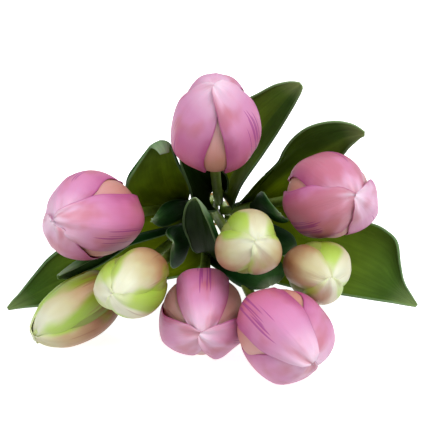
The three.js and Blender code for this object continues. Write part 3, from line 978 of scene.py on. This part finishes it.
@dataclass
class Bunch:
    """The frame of the bunch: cut stem ends at z = 0, heads along +z, x to the right and y up."""

    head_plane: float = 275.0
    straight: float = 85.0
    place: Place = field(init=False)

    def __post_init__(self) -> None:
        """Takes the axis from the band's slide and the origin from the middle stem's cut end."""
        along = np.array(JOINTS["band_slide"]["axis"], float)
        right = np.array([1.0, 0.0, 0.0])
        basis = np.column_stack([right, np.cross(along, right), along])
        self.place = Place(np.zeros(3), basis)
        self.place = Place(self.place.put(self.foot("middle_bud_stem")), basis)

    def foot(self, node: str) -> Array:
        """Finds where a stem is cut.

        Args:
            node: Name of the stem's node.

        Returns:
            Middle of its lowest ring, in millimetres of the bunch.
        """
        corners = np.array([self.place.point(v.co) for v in frame["nodes"][node].data.vertices])
        ring = corners[corners[:, 2] < corners[:, 2].min() + CUT_HEIGHT]
        return (ring.min(0) + ring.max(0)) / 2

    def in_fan(self, x: float, y: float, z: float) -> Array:
        """A place in the fan of heads, from spread units to millimetres."""
        return np.array([x * SPREAD, y * SPREAD, self.head_plane + z * SPREAD])


BUNCH = Bunch()


@dataclass
class Petal:
    """One petal: a spoon whose sections stand square to its outline, in the head's frame.

    Direction is its angle round the head in degrees, order which petal lies on top, and laps whether its
    two sides lie over the next petal (1) or under it (-1). Slim narrows it, and closed widens its upper
    half. Shade is its share of the second colour, and streak the place across of its lines.
    """

    sizes: HeadSizes
    whorl: Whorl
    direction: float
    order: float
    laps: tuple[float, float]
    stretch: float
    bulge: float
    slim: float
    closed: float
    shade: float
    streak: float
    dice: np.random.Generator
    outline: Path = field(init=False)
    phase: Array = field(init=False)

    def __post_init__(self) -> None:
        """Lays out the petal's outline and draws its own small waves."""
        reach = TIP_REACH + TIP_STEP * self.order
        self.outline = self.sizes.outline(self.whorl, self.stretch, self.bulge, reach)
        # Four of the six are used, and six are drawn so that the later draws stay the same.
        self.phase = self.dice.uniform(0, 2 * math.pi, 6)

    def middle(self, s: Array, v: Array) -> Array:
        """Works out the middle surface.

        Args:
            s: Shares of length.
            v: Places across, from -1 to 1.

        Returns:
            Points in millimetres.
        """
        sizes, phase = self.sizes, self.phase
        outer = self.whorl is Whorl.OUTER
        r, z = np.moveaxis(self.outline.at(s), -1, 0)
        climb_r, climb_z = np.moveaxis(self.outline.tangent(s), -1, 0)
        out_r, out_z = climb_z, -climb_r
        # Width across, and the radius of the round section that carries it.
        width = curve_through(sizes.outer_width if outer else sizes.inner_width, s)
        width = width * (1 - (1 - self.slim) * smoothstep(s, 0.05, 0.3)) * self.bulge
        width = width * (1 + self.closed * smoothstep(s, 0.4, 0.75))
        cup = sizes.cup * np.sqrt(r * r + LEAST_CUP**2) / np.sqrt(np.maximum(out_r, 0) ** 2 + 0.05)
        turn = v * width / cup
        rise = np.sin(math.pi * s) ** 0.8
        edge = np.abs(v)
        # On the upper half a side lies over the next petal or under it, and tips lie in the same order.
        lap = np.where(v > 0, self.laps[1], self.laps[0]) * smoothstep(edge, 0.35, 1.0)
        lift = sizes.lap * lap * smoothstep(s, 0.42, 0.72)
        lift = lift + TIP_LIFT * self.order * smoothstep(s, 0.78, 0.95)
        # Waves along the petal, creases and a keel towards the tip, and ruffled margins.
        flute = sizes.flute * np.sin(4.2 * v + phase[0] + 0.8 * s) * rise * (1 - 0.6 * edge)
        crease = CREASE * np.sin(8.0 * v + phase[1]) * smoothstep(s, 0.74, 0.92)
        crease = crease * (1 - smoothstep(s, 0.96, 1.0))
        keel = KEEL * np.exp(-((v / 0.13) ** 2)) * smoothstep(s, 0.35, 0.8)
        ruffle = RUFFLE * edge**3 * np.sin(9 * s + np.where(v > 0, phase[2], phase[3])) * rise
        depth = lift + (flute + crease + keel + ruffle) * (1.0 if outer else 0.5) - cup * (1 - np.cos(turn))
        if not outer:
            depth = depth + sizes.inner_swell * smoothstep(s, 0.06, 0.18) * (1 - smoothstep(s, 0.45, 0.72))
        local = np.stack([r + out_r * depth, cup * np.sin(turn), z + out_z * depth], axis=-1)
        c, t = math.cos(math.radians(self.direction)), math.sin(math.radians(self.direction))
        return local @ np.array([[c, t, 0], [-t, c, 0], [0, 0, 1]])

    @property
    def notes(self) -> dict[str, Surface]:
        """Shares that the finish reads."""
        return {"tint": self.tint, "streaks": self.streaks}

    def tint(self, s: Array, v: Array) -> Array:
        """Share of the second colour: even over the petal."""
        return np.full_like(s * v, self.shade)

    def streaks(self, s: Array, v: Array) -> Array:
        """Strength of the streaks: one group of lines from the base past the middle, fading out."""
        group = 1 - smoothstep(np.abs(v - self.streak), 0.2, 0.38)
        return group * smoothstep(s, 0.04, 0.14) * (1 - smoothstep(s, 0.6, 0.84))

    def thickness(self, s: Array, v: Array) -> Array:
        """Wall in millimetres, thinner at the margin and the tip."""
        return self.sizes.wall * (1 - 0.5 * np.abs(v) ** 5) * (1 - 0.4 * smoothstep(s, 0.8, 1))


@dataclass
class Tulip:
    """One tulip: its stem, wire and head.

    Turn is the head's angle on its wire in degrees, and bow moves the stem's bend aside in millimetres.
    Order, stretch, bulge, shades, streaks and shift belong to the three outer petals: which lies on top,
    their lengths and girths as shares of the usual ones, their second colour, the place across of their
    streaks and how far they are moved round the head in degrees. Slim and closed belong to them all.
    Lead_out and lead_in say how straight the stem's bend starts and ends, as shares of its reach.
    """

    name: str
    kind: HeadKind
    turn: float
    bow: tuple[float, float] = (0.0, 0.0)
    order: tuple[float, float, float] = (-1.0, 0.0, 1.0)
    stretch: tuple[float, float, float] = (1.0, 1.0, 1.0)
    bulge: tuple[float, float, float] = (1.0, 1.0, 1.0)
    slim: float = 1.0
    closed: float = 0.0
    shades: tuple[float, float, float] = (0.5, 0.5, 0.5)
    streaks: tuple[float, float, float] = (0.0, 0.3, -0.3)
    shift: tuple[float, float, float] = (0.0, 0.0, 0.0)
    stem_radius: float = 3.0
    wire_radius: float = 0.9
    peg: float = 11.0
    lead_out: float = 0.34
    lead_in: float = 0.2
    axis: Array = field(init=False)
    seat: Array = field(init=False)
    head: Place = field(init=False)
    path: Path = field(init=False)

    def __post_init__(self) -> None:
        """Takes the head's frame from its swivel and lays out the stem to meet it."""
        joint = JOINTS[f"{self.name}_swivel"]
        self.axis = BUNCH.place.direction(joint["axis"])
        self.seat = BUNCH.place.point(joint["pos_m"])
        tilt = np.array(Vector((0, 0, 1)).rotation_difference(Vector(self.axis)).to_matrix())
        c, s = math.cos(math.radians(self.turn)), math.sin(math.radians(self.turn))
        turned = np.array([[c, -s, 0], [s, c, 0], [0, 0, 1]])
        self.head = Place(BUNCH.place.put(self.seat), BUNCH.place.basis @ tilt @ turned)
        foot = BUNCH.foot(f"{self.name}_stem")
        bend_from = foot + [0, 0, BUNCH.straight]
        end = self.seat - SEAT_GAP * self.axis
        reach = np.linalg.norm(end - bend_from)
        lead = bend_from + np.array([*self.bow, self.lead_out * reach])
        bend = Path.bezier(bend_from, lead, end - self.lead_in * reach * self.axis, end)
        run = np.linspace(foot, bend_from, STRAIGHT_POINTS, endpoint=False)
        self.path = Path(np.vstack([run, bend.points]))

    @property
    def sizes(self) -> HeadSizes:
        """Sizes of this kind of head."""
        return HEADS[self.kind]

    def build(self) -> list[bpy.types.Object]:
        """Builds the whole tulip and returns its pieces."""
        rod = [self.build_stem(), self.build_wire(), self.build_core()]
        return rod + self.build_whorl(Whorl.OUTER) + self.build_whorl(Whorl.INNER)

    def sleeve_radius(self, share: Array) -> Array:
        """Radius of the sleeve, a little uneven from its mould."""
        return self.stem_radius * (1 - SLEEVE_PLAY + SLEEVE_PLAY * np.sin(9.0 * share + self.turn))

    def rod_radius(self, share: Array) -> Array:
        """Radius of the wire, even from end to end."""
        return np.full_like(share, self.wire_radius)

    def build_stem(self) -> bpy.types.Object:
        """Builds the moulded sleeve.

        Returns:
            The sleeve.
        """
        name = f"{self.name}_stem_sleeve"
        piece = make_tube(name, self.path, self.sleeve_radius, SLEEVE_SIDES, BUNCH.place)
        STEM.dress(piece)
        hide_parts(f"{self.name}_stem")
        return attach(piece, "bunch")

    def build_wire(self) -> bpy.types.Object:
        """Builds the wire, from the cut end to the top of the peg that the head turns on.

        Returns:
            The wire.
        """
        path = Path(np.vstack([self.path.points, self.seat + self.peg * self.axis]))
        piece = make_tube(f"{self.name}_steel_wire", path, self.rod_radius, WIRE_SIDES, BUNCH.place)
        WIRE.dress(piece)
        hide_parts(f"{self.name}_wire")
        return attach(piece, "bunch")

    def build_core(self) -> bpy.types.Object:
        """Builds the core that turns on the wire: a pistil in a bloom and an egg of foam in a bud.

        Returns:
            The core.
        """
        sizes = self.sizes
        height = sizes.length - sizes.tip_drop - NECK_TOP
        girth, shares = NECK_RADIUS, PISTIL
        if self.kind is HeadKind.BUD:
            girth = sizes.radius - 2 * (sizes.wall + sizes.tuck + LAYER_GAP) - sizes.wall
            shares = EGG
        line = [(NECK_RADIUS, NECK_TOP)] + [(r * girth, NECK_TOP + z * height) for r, z in shares]
        top = Path.through(line).at(np.linspace(0, 1, CORE_RINGS))
        profile = [*BORE, *FLANGE, *(tuple(p) for p in top)]
        piece = make_turning(f"{self.name}_threaded_core", self.head, profile, False)
        sizes.core_finish.dress(piece)
        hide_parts(f"{self.name}_core")
        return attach(piece, f"{self.name}_head")

    def petal(self, whorl: Whorl, number: int, dice: np.random.Generator) -> Petal:
        """Lays out one petal of a ring, with its own small differences.

        Args:
            whorl: Ring that the petal belongs to.
            number: Its number in the ring.
            dice: Source of the differences.

        Returns:
            The petal, ready to be meshed.
        """
        direction = 120 * number + 60 * whorl.value + dice.uniform(-TURN_PLAY, TURN_PLAY)
        length = dice.uniform(*LENGTH_PLAY)
        if whorl is Whorl.INNER:
            return Petal(
                self.sizes, whorl, direction, order=number - 1, laps=INNER_LAPS, stretch=length, bulge=1.0,
                slim=1.0, closed=0.0, shade=0.5, streak=NO_STREAK, dice=dice,
            )
        mine = self.order[number]
        return Petal(
            self.sizes,
            whorl,
            direction + self.shift[number],
            order=mine,
            laps=tuple(math.copysign(1.0, mine - self.order[(number + side) % 3]) for side in (-1, 1)),
            stretch=length * self.stretch[number],
            bulge=self.bulge[number],
            slim=self.slim,
            closed=self.closed,
            shade=self.shades[number],
            streak=self.streaks[number],
            dice=dice,
        )

    def build_whorl(self, whorl: Whorl) -> list[bpy.types.Object]:
        """Builds the three petals of a ring and the washer that carries them.

        Args:
            whorl: The ring.

        Returns:
            The washer and the petals.
        """
        sizes, layer = self.sizes, whorl.value
        word = whorl.name.lower()
        finish = sizes.inner_finish if layer else sizes.outer_finish
        bottom = WASHER_FOOT + WASHER_PITCH * layer
        top, (bore, rim) = bottom + WASHER_WALL, WASHER_RADII
        ring = [(bore, bottom), (rim, bottom), (rim, top), (bore, top)]
        pieces = [make_turning(f"{self.name}_{word}_washer", self.head, ring, True)]
        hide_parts(f"{self.name}_{word}_petals")
        dice = np.random.default_rng([layer, *self.name.encode()])
        for number in range(3):
            petal = self.petal(whorl, number, dice)
            name = f"{self.name}_{word}_petal_{number + 1}"
            seed = dice.uniform(0, 50)
            sheet = (petal.middle, petal.thickness, petal.notes)
            pieces.append(make_sheet(name, self.head, *sheet, PETAL_STEPS, seed))
        for piece in pieces:
            finish.dress(piece)
            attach(piece, f"{self.name}_head")
        return pieces


@dataclass
class Leaf:
    """One leaf that clasps a stem, in the bunch's frame.

    Its tip is a place in the fan, and lean the tilt and direction that its midrib ends in. Pairs belong
    to its two halves. Margins give their widths along the leaf in millimetres; without them, half gives
    the widths as shares of a broad leaf's. Belly is the share of length where waves and rib are highest,
    and where a leaf without margins is widest. Wave is the height of the waves in millimetres. In
    degrees, open_angle is how far a half folds up towards the tip, roll how far the blade twists, curl
    how far a margin rolls in and tip_roll how far the tip rolls over. Lit is a half's share of painted
    light, an olive laid into its colour, and lit_split the place across where the two halves' shares meet.
    """

    name: str
    stem: Tulip
    tip: tuple[float, float, float]
    lean: tuple[float, float]
    belly: float
    open_angle: tuple[float, float]
    roll: float
    wave: float
    half: tuple[float, float] = (0.5, 0.5)
    curl: tuple[float, float] = (60.0, 60.0)
    lit: tuple[float, float] = (0.04, 0.04)
    lit_split: float = 0.0
    margins: tuple[Knots, Knots] | None = None
    tip_roll: float = 0.0
    tip_share: float = 0.14
    broad: float = 20.0
    clasp_angle: float = 55.0
    flat_angle: float = 26.0
    # Half the arc that clasps a sleeve, 55 degrees at a radius of 3.8 mm
    foot_half: float = 3.8 * math.radians(55.0)
    tip_half: float = 0.9
    wall: float = 0.9
    rib: float = 0.5
    rib_width: float = 0.07
    lead_out: float = 0.28
    lead_in: float = 0.38
    spine: Path = field(init=False)
    backs: Array = field(init=False)
    stations: Array = field(init=False)

    def __post_init__(self) -> None:
        """Lays out the midrib and carries the way out of the gutter's back along it."""
        joint = JOINTS[f"{self.name}_bend"]
        foot = BUNCH.place.point(joint["pos_m"])
        hinge = BUNCH.place.direction(joint["axis"])
        line = self.stem.path.at(np.linspace(0, 1, STEM_SAMPLES))
        nearest = np.argmin(np.linalg.norm(line - foot, axis=1)) / (STEM_SAMPLES - 1)
        out = unit(np.cross(hinge, self.stem.path.tangent(nearest)))
        along = np.cross(out, hinge)
        tip = BUNCH.in_fan(*self.tip)
        reach = np.linalg.norm(tip - foot)
        ahead = tip - self.lead_in * reach * leaning(*self.lean)
        self.spine = Path.bezier(foot, foot + self.lead_out * reach * along, ahead, tip)
        self.stations = np.linspace(0, 1, SPINE_STATIONS)
        self.carry_back(out)
        if self.tip_roll:
            self.roll_tip()
            self.carry_back(out)

    def carry_back(self, out: Array) -> None:
        """Carries the way out of the gutter's back along the midrib.

        Args:
            out: That way at the foot.
        """
        backs = [out]
        for tangent in self.spine.tangent(self.stations)[1:]:
            backs.append(unit(backs[-1] - tangent * (backs[-1] @ tangent)))
        self.backs = np.array(backs)

    def roll_tip(self) -> None:
        """Rolls the end of the midrib over into the hollow."""
        tangent = self.spine.tangent(self.stations)
        start = 1.0 - self.tip_share
        turn = math.radians(self.tip_roll) * np.clip((self.stations - start) / self.tip_share, 0, 1) ** 1.2
        way = tangent * np.cos(turn)[:, None] - self.backs * np.sin(turn)[:, None]
        step = self.spine.lengths[-1] / (len(self.stations) - 1)
        run = np.cumsum((way[1:] + way[:-1]) / 2 * step, axis=0)
        first = self.spine.at(0.0)
        self.spine = Path(np.vstack([first, first + run]))

    def swell(self, s: Array) -> Array:
        """Rise and fall from foot to tip, highest at the belly."""
        return np.sin(math.pi * s ** (math.log(0.5) / math.log(self.belly)))

    def section(self, s: Array, v: Array, half: Array) -> tuple[Array, Array]:
        """Works out the blade's section: a gutter with curled margins.

        Args:
            s: Shares of length.
            v: Places across, from -1 to 1.
            half: Half widths there, in millimetres.

        Returns:
            How far each point lies aside from the midrib, and how far in the hollow.
        """
        # The gutter opens above the clasp and folds up again towards the tip.
        opened = self.clasp_angle + (self.flat_angle - self.clasp_angle) * smoothstep(s, 0, 0.3)
        folded = np.where(v > 0, self.open_angle[1], self.open_angle[0])
        gutter = np.radians(opened + (folded - opened) * smoothstep(s, 0.3, 0.8))
        # The angle grows across the blade, more so where the margin curls, and is summed up from the rib.
        steps = np.linspace(0, 1, SECTION_STEPS)
        across = v[..., None] * steps
        curl = np.radians(np.where(across > 0, self.curl[1], -self.curl[0]))
        grown = (smoothstep(s, 0.15, 0.4) * (1 - smoothstep(s, 0.93, 1.0)))[..., None]
        angle = gutter[..., None] * across + curl * grown * smoothstep(np.abs(across), 0.78, 1.02)
        aside = half * v * np.trapz(np.cos(angle), steps, axis=-1)
        hollow = half * v * np.trapz(np.sin(angle), steps, axis=-1)
        return aside, hollow

    def middle(self, s: Array, v: Array) -> Array:
        """Works out the middle surface: a gutter that clasps the stem, opens and folds towards the tip.

        Args:
            s: Shares of length.
            v: Places across, from -1 to 1.

        Returns:
            Points in millimetres.
        """
        tangent = self.spine.tangent(s)
        back = np.stack([np.interp(s, self.stations, axis) for axis in self.backs.T], axis=-1)
        back = unit(back - tangent * np.sum(back * tangent, axis=-1, keepdims=True))
        roll = (math.radians(self.roll) * s * s)[..., None]
        back = back * np.cos(roll) + np.cross(tangent, back) * np.sin(roll)
        side = np.cross(tangent, back)
        swell = self.swell(s)
        if self.margins:
            half = np.where(v > 0, curve_through(self.margins[1], s), curve_through(self.margins[0], s))
        else:
            widest = np.where(v > 0, self.half[1], self.half[0]) * self.broad - 0.3 * self.foot_half
            half = np.maximum(self.foot_half * (1 - s) + widest * swell, self.tip_half)
        aside, hollow = self.section(s, v, half)
        wave = self.wave * swell * np.abs(v) ** 3 * np.sin(7 * s + np.where(v > 0, 0.0, 2.0))
        rib = self.rib * np.exp(-((v / self.rib_width) ** 2)) * swell
        return self.spine.at(s) + side * aside[..., None] + back * (wave + rib - hollow)[..., None]

    def thickness(self, s: Array, v: Array) -> Array:
        """Wall in millimetres, with a small bead along the margin."""
        bead = np.exp(-(((1 - np.abs(v)) / 0.04) ** 2))
        return self.wall * (1 + 0.5 * bead) * (1 - 0.3 * smoothstep(s, 0.9, 1))

    def tint(self, s: Array, v: Array) -> Array:
        """Works out the share of the olive painted light, strongest past the clasp and fading to the tip.

        Args:
            s: Shares of length.
            v: Places across, from -1 to 1.

        Returns:
            The share there.
        """
        over = smoothstep(v, self.lit_split - 0.12, self.lit_split + 0.12)
        halves = self.lit[0] + (self.lit[1] - self.lit[0]) * over
        return halves * smoothstep(s, 0.02, 0.2) * (1 - 0.7 * smoothstep(s, 0.65, 1.0))

    def build(self) -> list[bpy.types.Object]:
        """Builds the blade.

        Returns:
            The blade alone, in a list.
        """
        seed = float(sum(self.name.encode()) % 97)
        sheet = (self.middle, self.thickness, {"tint": self.tint})
        piece = make_sheet(f"{self.name}_sheet", BUNCH.place, *sheet, LEAF_STEPS, seed)
        LEAF.dress(piece)
        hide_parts(self.name)
        return [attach(piece, f"{self.name}_blade")]


@dataclass
class Band:
    """The elastic band round the stems, clear of the corner stems' middle lines.

    Square and flat say how boxy its section is across the wall and along the stems: 1 is round.
    """

    width: float = 7.0
    wall: float = 1.6
    foot: float = 66.0
    clear: float = 3.3
    square: float = 0.5
    flat: float = 0.4
    corner_steps: int = 16
    section_steps: int = 24
    corner_stems: tuple[str, ...] = ("drooping_bud", "right_bud", "top_bloom", "left_bloom")

    def build(self) -> list[bpy.types.Object]:
        """Builds the band as a rounded strip swept round the outer stems.

        Returns:
            The band alone, in a list.
        """
        corners = [BUNCH.foot(f"{name}_stem")[:2] for name in self.corner_stems]
        outline = []
        for i, corner in enumerate(corners):
            before, after = corner - corners[i - 1], corners[(i + 1) % len(corners)] - corner
            start = math.atan2(before[1], before[0]) - math.pi / 2
            turn = (math.atan2(after[1], after[0]) - math.pi / 2 - start) % (2 * math.pi)
            outline += [(corner, start + turn * k / self.corner_steps) for k in range(self.corner_steps + 1)]
        corner = np.array([c for c, _ in outline])
        out = np.array([(math.cos(a), math.sin(a)) for _, a in outline])
        section = []
        for k in range(self.section_steps):
            a = 2 * math.pi * k / self.section_steps
            deep = math.copysign(abs(math.cos(a)) ** self.square, math.cos(a))
            high = math.copysign(abs(math.sin(a)) ** self.flat, math.sin(a))
            section.append((self.wall * (0.5 + 0.5 * deep), self.width * (0.5 + 0.5 * high)))
        n, m = len(outline), len(section)
        points, faces = [], []
        for i in range(n):
            here, after = i * m, (i + 1) % n * m
            points += [[*(corner[i] + out[i] * (self.clear + d)), self.foot + h] for d, h in section]
            faces += [[here + k, after + k, after + (k + 1) % m, here + (k + 1) % m] for k in range(m)]
        piece = make_object("rubber_band", BUNCH.place.put(np.array(points)), faces)
        RUBBER.dress(piece)
        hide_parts("elastic_band")
        return [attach(piece, "band")]


@dataclass
class Studio:
    """The pale floor, the soft light and the camera."""

    target: tuple[float, float, float] = (0.003, -0.1, 0.077)
    elevation: float = 16.0
    distance: float = 0.85
    lens: float = 136.0
    sky: str = "#FFFFFF"
    sky_strength: float = 0.68
    floor_half: float = 4.0
    # Name, width in metres, power in watts and place of each lamp
    lamps: tuple[tuple[str, float, float, tuple[float, float, float]], ...] = (
        ("key_soft_box", 1.4, 33.0, (0.7, -1.35, 2.1)),
        ("left_fill", 1.2, 7.0, (-1.8, -1.2, 1.2)),
        ("right_fill", 1.2, 6.0, (1.7, -1.3, 0.5)),
    )

    def build(self) -> None:
        """Builds the floor, lights and camera."""
        self.build_floor()
        self.build_light()
        self.build_camera()

    def build_floor(self) -> None:
        """A white table, lit from below for the camera alone, so that only contact shadows show."""
        corners = ((-1, -1, 0), (1, -1, 0), (1, 1, 0), (-1, 1, 0))
        points = self.floor_half * np.array(corners, float)
        floor = make_object("floor", points, [[0, 1, 2, 3]])
        FLOOR.dress(floor)
        floor.visible_diffuse = False

    def build_light(self) -> None:
        """One large soft lamp above the front, a weak one on each side, and an even white sky."""
        scene = bpy.context.scene
        scene.view_settings.view_transform = "Standard"
        world = bpy.data.worlds.new("soft_white_studio")
        scene.world = world
        world.use_nodes = True
        background = world.node_tree.nodes["Background"]
        background.inputs["Color"].default_value = linear(self.sky)
        background.inputs["Strength"].default_value = self.sky_strength
        for name, size, power, place in self.lamps:
            lamp = bpy.data.lights.new(name, "AREA")
            lamp.shape = "DISK"
            lamp.size = size
            lamp.energy = power
            holder = bpy.data.objects.new(name, lamp)
            scene.collection.objects.link(holder)
            holder.location = place
            aim = Vector(self.target) - holder.location
            holder.rotation_euler = aim.to_track_quat("-Z", "Y").to_euler()

    def build_camera(self) -> None:
        """The camera, which sees the bouquet from the photograph's side."""
        camera = bpy.data.objects.new("camera", bpy.data.cameras.new("camera"))
        camera.data.lens = self.lens
        camera.data.sensor_width = 36.0
        camera.data.clip_start = 0.01
        rise = math.radians(self.elevation)
        camera.location = Vector(self.target) + self.distance * Vector((0, -math.cos(rise), math.sin(rise)))
        camera.rotation_euler = (Vector(self.target) - camera.location).to_track_quat("-Z", "Y").to_euler()
        bpy.context.scene.collection.objects.link(camera)
        bpy.context.scene.camera = camera


def tulips() -> dict[str, Tulip]:
    """Lays out the nine tulips.

    Returns:
        The tulips by name.
    """
    bloom, bud = HeadKind.BLOOM, HeadKind.BUD
    rows = [
        Tulip("top_bloom", bloom, 90, streaks=(0.0, -0.25, 0.1)),
        Tulip(
            "left_bloom", bloom, 110, order=(0, -1, 1), stretch=(1.0, 1.07, 1.0), closed=0.1,
            streaks=(-0.2, 0.0, -0.35),
        ),
        Tulip(
            "right_bloom", bloom, 98, closed=0.14, shades=(0.85, 0.8, 0.4), streaks=(-0.45, 0.25, 0.0),
            shift=(12, -5, 0),
        ),
        Tulip(
            "front_bloom", bloom, 10, (4, 0), order=(-1, 1, 0), stretch=(1.03, 1.03, 1.0),
            bulge=(1.0, 1.0, 0.96), closed=0.1, streaks=(NO_STREAK, 0.25, 0.8), shift=(13, 0, 0),
        ),
        Tulip("low_bloom", bloom, 90, slim=0.88, streaks=(-0.1, 0.8, 0.3)),
        Tulip("middle_bud", bud, 82, bulge=(1.06, 1.0, 1.04), shades=(0.8, 0.55, 0.45)),
        Tulip("right_bud", bud, 35, (4, 1), bulge=(1.03, 1.0, 0.98), shades=(0.8, 0.3, 0.65)),
        Tulip("left_bud", bud, 60, bulge=(1.08, 1.1, 1.02), shades=(0.65, 0.75, 0.9)),
        Tulip(
            "drooping_bud", bud, 60, (-5, -2), order=(-1, 1, 0), stretch=(0.95, 0.95, 0.95),
            bulge=(1.06, 1.08, 1.06), shades=(0.95, 0.95, 0.25),
        ),
    ]
    return {tulip.name: tulip for tulip in rows}


def leaves(stems: dict[str, Tulip]) -> list[Leaf]:
    """Lays out the thirteen leaves.

    Args:
        stems: Tulips by name, whose stems the leaves clasp.

    Returns:
        The leaves.
    """
    return [
        Leaf(
            "leaf_top_right", stems["top_bloom"], (2.34, 3.68, -0.73), (40, 45), 0.45, (45, 0), 0, 2,
            lit=(0.3, 1.0), tip_roll=20,
            margins=(
                ((0, 15), (0.04, 14.5), (0.1, 12.5), (0.2, 10.5), (0.3, 10.2), (0.45, 10.7),
                 (0.6, 11.2), (0.75, 10), (0.88, 6.8), (0.96, 4), (1, 2)),
                ((0, 3.6), (0.15, 9), (0.3, 14), (0.45, 17.5), (0.6, 19), (0.72, 18.5), (0.82, 13.5),
                 (0.9, 9.5), (0.96, 5), (1, 1.2)),
            ),
        ),
        Leaf(
            "leaf_right_high", stems["right_bloom"], (3.95, 2.5, -1.46), (65, 5), 0.6, (40, -25), -40, 2,
            lit=(0.95, 0.3), lit_split=-0.4, tip_roll=25,
            margins=(
                ((0, 4), (0.08, 10), (0.15, 15), (0.3, 20.5), (0.45, 24.5), (0.6, 25.5), (0.75, 22),
                 (0.88, 14), (0.95, 8), (1, 1.5)),
                ((0, 3.6), (0.15, 3), (0.3, 2), (0.45, 1.8), (0.55, 3), (0.65, 7.5), (0.72, 9.8),
                 (0.8, 10.5), (0.9, 7), (0.96, 4), (1, 1.2)),
            ),
        ),
        Leaf(
            "leaf_right_low", stems["right_bud"], (5.5, -2.35, -2.9), (75, -40), 0.65, (30, 30), 0, 3,
            curl=(60, 90), lit=(0.7, 0.65),
            margins=(
                ((0, 6), (0.06, 18), (0.15, 25), (0.3, 30), (0.45, 33), (0.6, 30), (0.75, 21),
                 (0.87, 12.5), (0.95, 5.5), (1, 0.9)),
                ((0, 4.5), (0.06, 12), (0.15, 17), (0.3, 20), (0.45, 23), (0.6, 25.5), (0.7, 27.5),
                 (0.78, 29), (0.83, 26), (0.87, 16), (0.91, 8), (0.95, 4), (1, 0.9)),
            ),
        ),
        Leaf(
            "leaf_left_low", stems["drooping_bud"], (-5.68, -2.5, -3.6), (75, 212), 0.57, (30, 30), 0, 2,
            curl=(110, 60), lit=(0.5, 0.7),
            margins=(
                ((0, 4), (0.06, 10), (0.15, 15), (0.3, 18), (0.45, 20.5), (0.6, 21.5), (0.7, 20),
                 (0.78, 17), (0.85, 11.5), (0.92, 6), (1, 0.9)),
                ((0, 20), (0.06, 24), (0.15, 27), (0.3, 27), (0.45, 24), (0.6, 21.5), (0.7, 19),
                 (0.8, 14.4), (0.9, 7.8), (0.96, 3.4), (1, 0.9)),
            ),
        ),
        Leaf(
            "leaf_left_fold", stems["left_bud"], (-4.12, -1.42, -1.7), (55, 220), 0.57, (70, 70), 30, 1,
            margins=(
                ((0, 3.6), (0.2, 5), (0.5, 7), (0.8, 7.5), (0.93, 5.5), (1, 2)),
                ((0, 3.6), (0.2, 8), (0.5, 13), (0.8, 14), (0.93, 10), (1, 3)),
            ),
        ),
        Leaf(
            "leaf_left_high", stems["left_bloom"], (-1.38, 2.4, -1.22), (28, 75), 0.5, (85, 30), 0, 2,
            lit=(0.95, 0.8), tip_roll=120,
            margins=(
                ((0, 3.6), (0.15, 9), (0.3, 13.5), (0.5, 15.5), (0.7, 14), (0.85, 10), (0.94, 6), (1, 3)),
                ((0, 3.6), (0.15, 12), (0.3, 20), (0.5, 25), (0.63, 25.5), (0.72, 23), (0.8, 15),
                 (0.87, 8), (0.94, 5.5), (1, 3)),
            ),
        ),
        Leaf(
            "leaf_top_left", stems["top_bloom"], (-0.85, 2.05, -1.5), (25, 115), 0.5, (40, 32), 0, 1,
            clasp_angle=115,
            margins=(
                ((0, 9), (0.06, 10), (0.15, 10.5), (0.3, 11), (0.5, 11), (0.7, 9), (0.9, 4), (1, 0.9)),
                ((0, 15), (0.06, 16.5), (0.15, 17), (0.3, 16), (0.5, 12.5), (0.7, 9.5), (0.9, 5.5),
                 (1, 0.9)),
            ),
        ),
        Leaf(
            "leaf_middle", stems["low_bloom"], (-0.45, 0.66, -0.49), (10, 120), 0.5, (60, 60), 0, 1,
            curl=(80, 80),
            margins=(
                ((0, 8), (0.04, 13), (0.1, 15.5), (0.3, 17.5), (0.5, 18.5), (0.7, 18), (0.85, 14.5),
                 (0.95, 8), (1, 0.9)),
                ((0, 4), (0.1, 8), (0.3, 11), (0.5, 12), (0.7, 10.5), (0.85, 7.5), (0.95, 3.5), (1, 0.9)),
            ),
        ),
        Leaf(
            "leaf_middle_left", stems["left_bud"], (-1.05, -0.5, -0.9), (10, 90), 0.5, (50, 50), 0, 1,
            half=(0.68, 0.52),
        ),
        Leaf(
            "leaf_left_inner", stems["left_bloom"], (-1.62, 0.05, -1.3), (15, 175), 0.58, (50, 50), 0, 1,
            half=(0.37, 0.38),
        ),
        Leaf(
            "leaf_right_inner", stems["right_bloom"], (1.75, 0.2, -1.0), (15, 0), 0.55, (45, 45), 0, 1,
            half=(0.5, 0.62),
        ),
        Leaf(
            "leaf_low_inner", stems["front_bloom"], (1.45, -1.6, -0.66), (15, -50), 0.55, (45, 45), 0, 1,
            margins=(
                ((0, 4), (0.1, 9), (0.3, 14), (0.5, 17), (0.7, 17), (0.85, 12.5), (0.95, 6), (1, 1.2)),
                ((0, 7), (0.08, 14.5), (0.2, 17), (0.35, 16.5), (0.5, 15.5), (0.7, 13), (0.85, 9),
                 (0.95, 4.5), (1, 1.2)),
            ),
        ),
        Leaf(
            "leaf_right_back", stems["right_bud"], (2.15, -0.72, -1.3), (12, -10), 0.5, (45, 45), 0, 1,
            half=(0.55, 0.5),
        ),
    ]


def main() -> None:
    """Builds the bouquet and its studio, and reports each piece."""
    logging.basicConfig(level=logging.INFO, format="%(name)s: %(message)s")
    Studio().build()
    stems = tulips()
    for part in [*stems.values(), *leaves(stems), Band()]:
        for piece in part.build():
            LOG.info("built %s, %d faces", piece.name, len(piece.data.polygons))


if __name__ == "__main__":
    main()
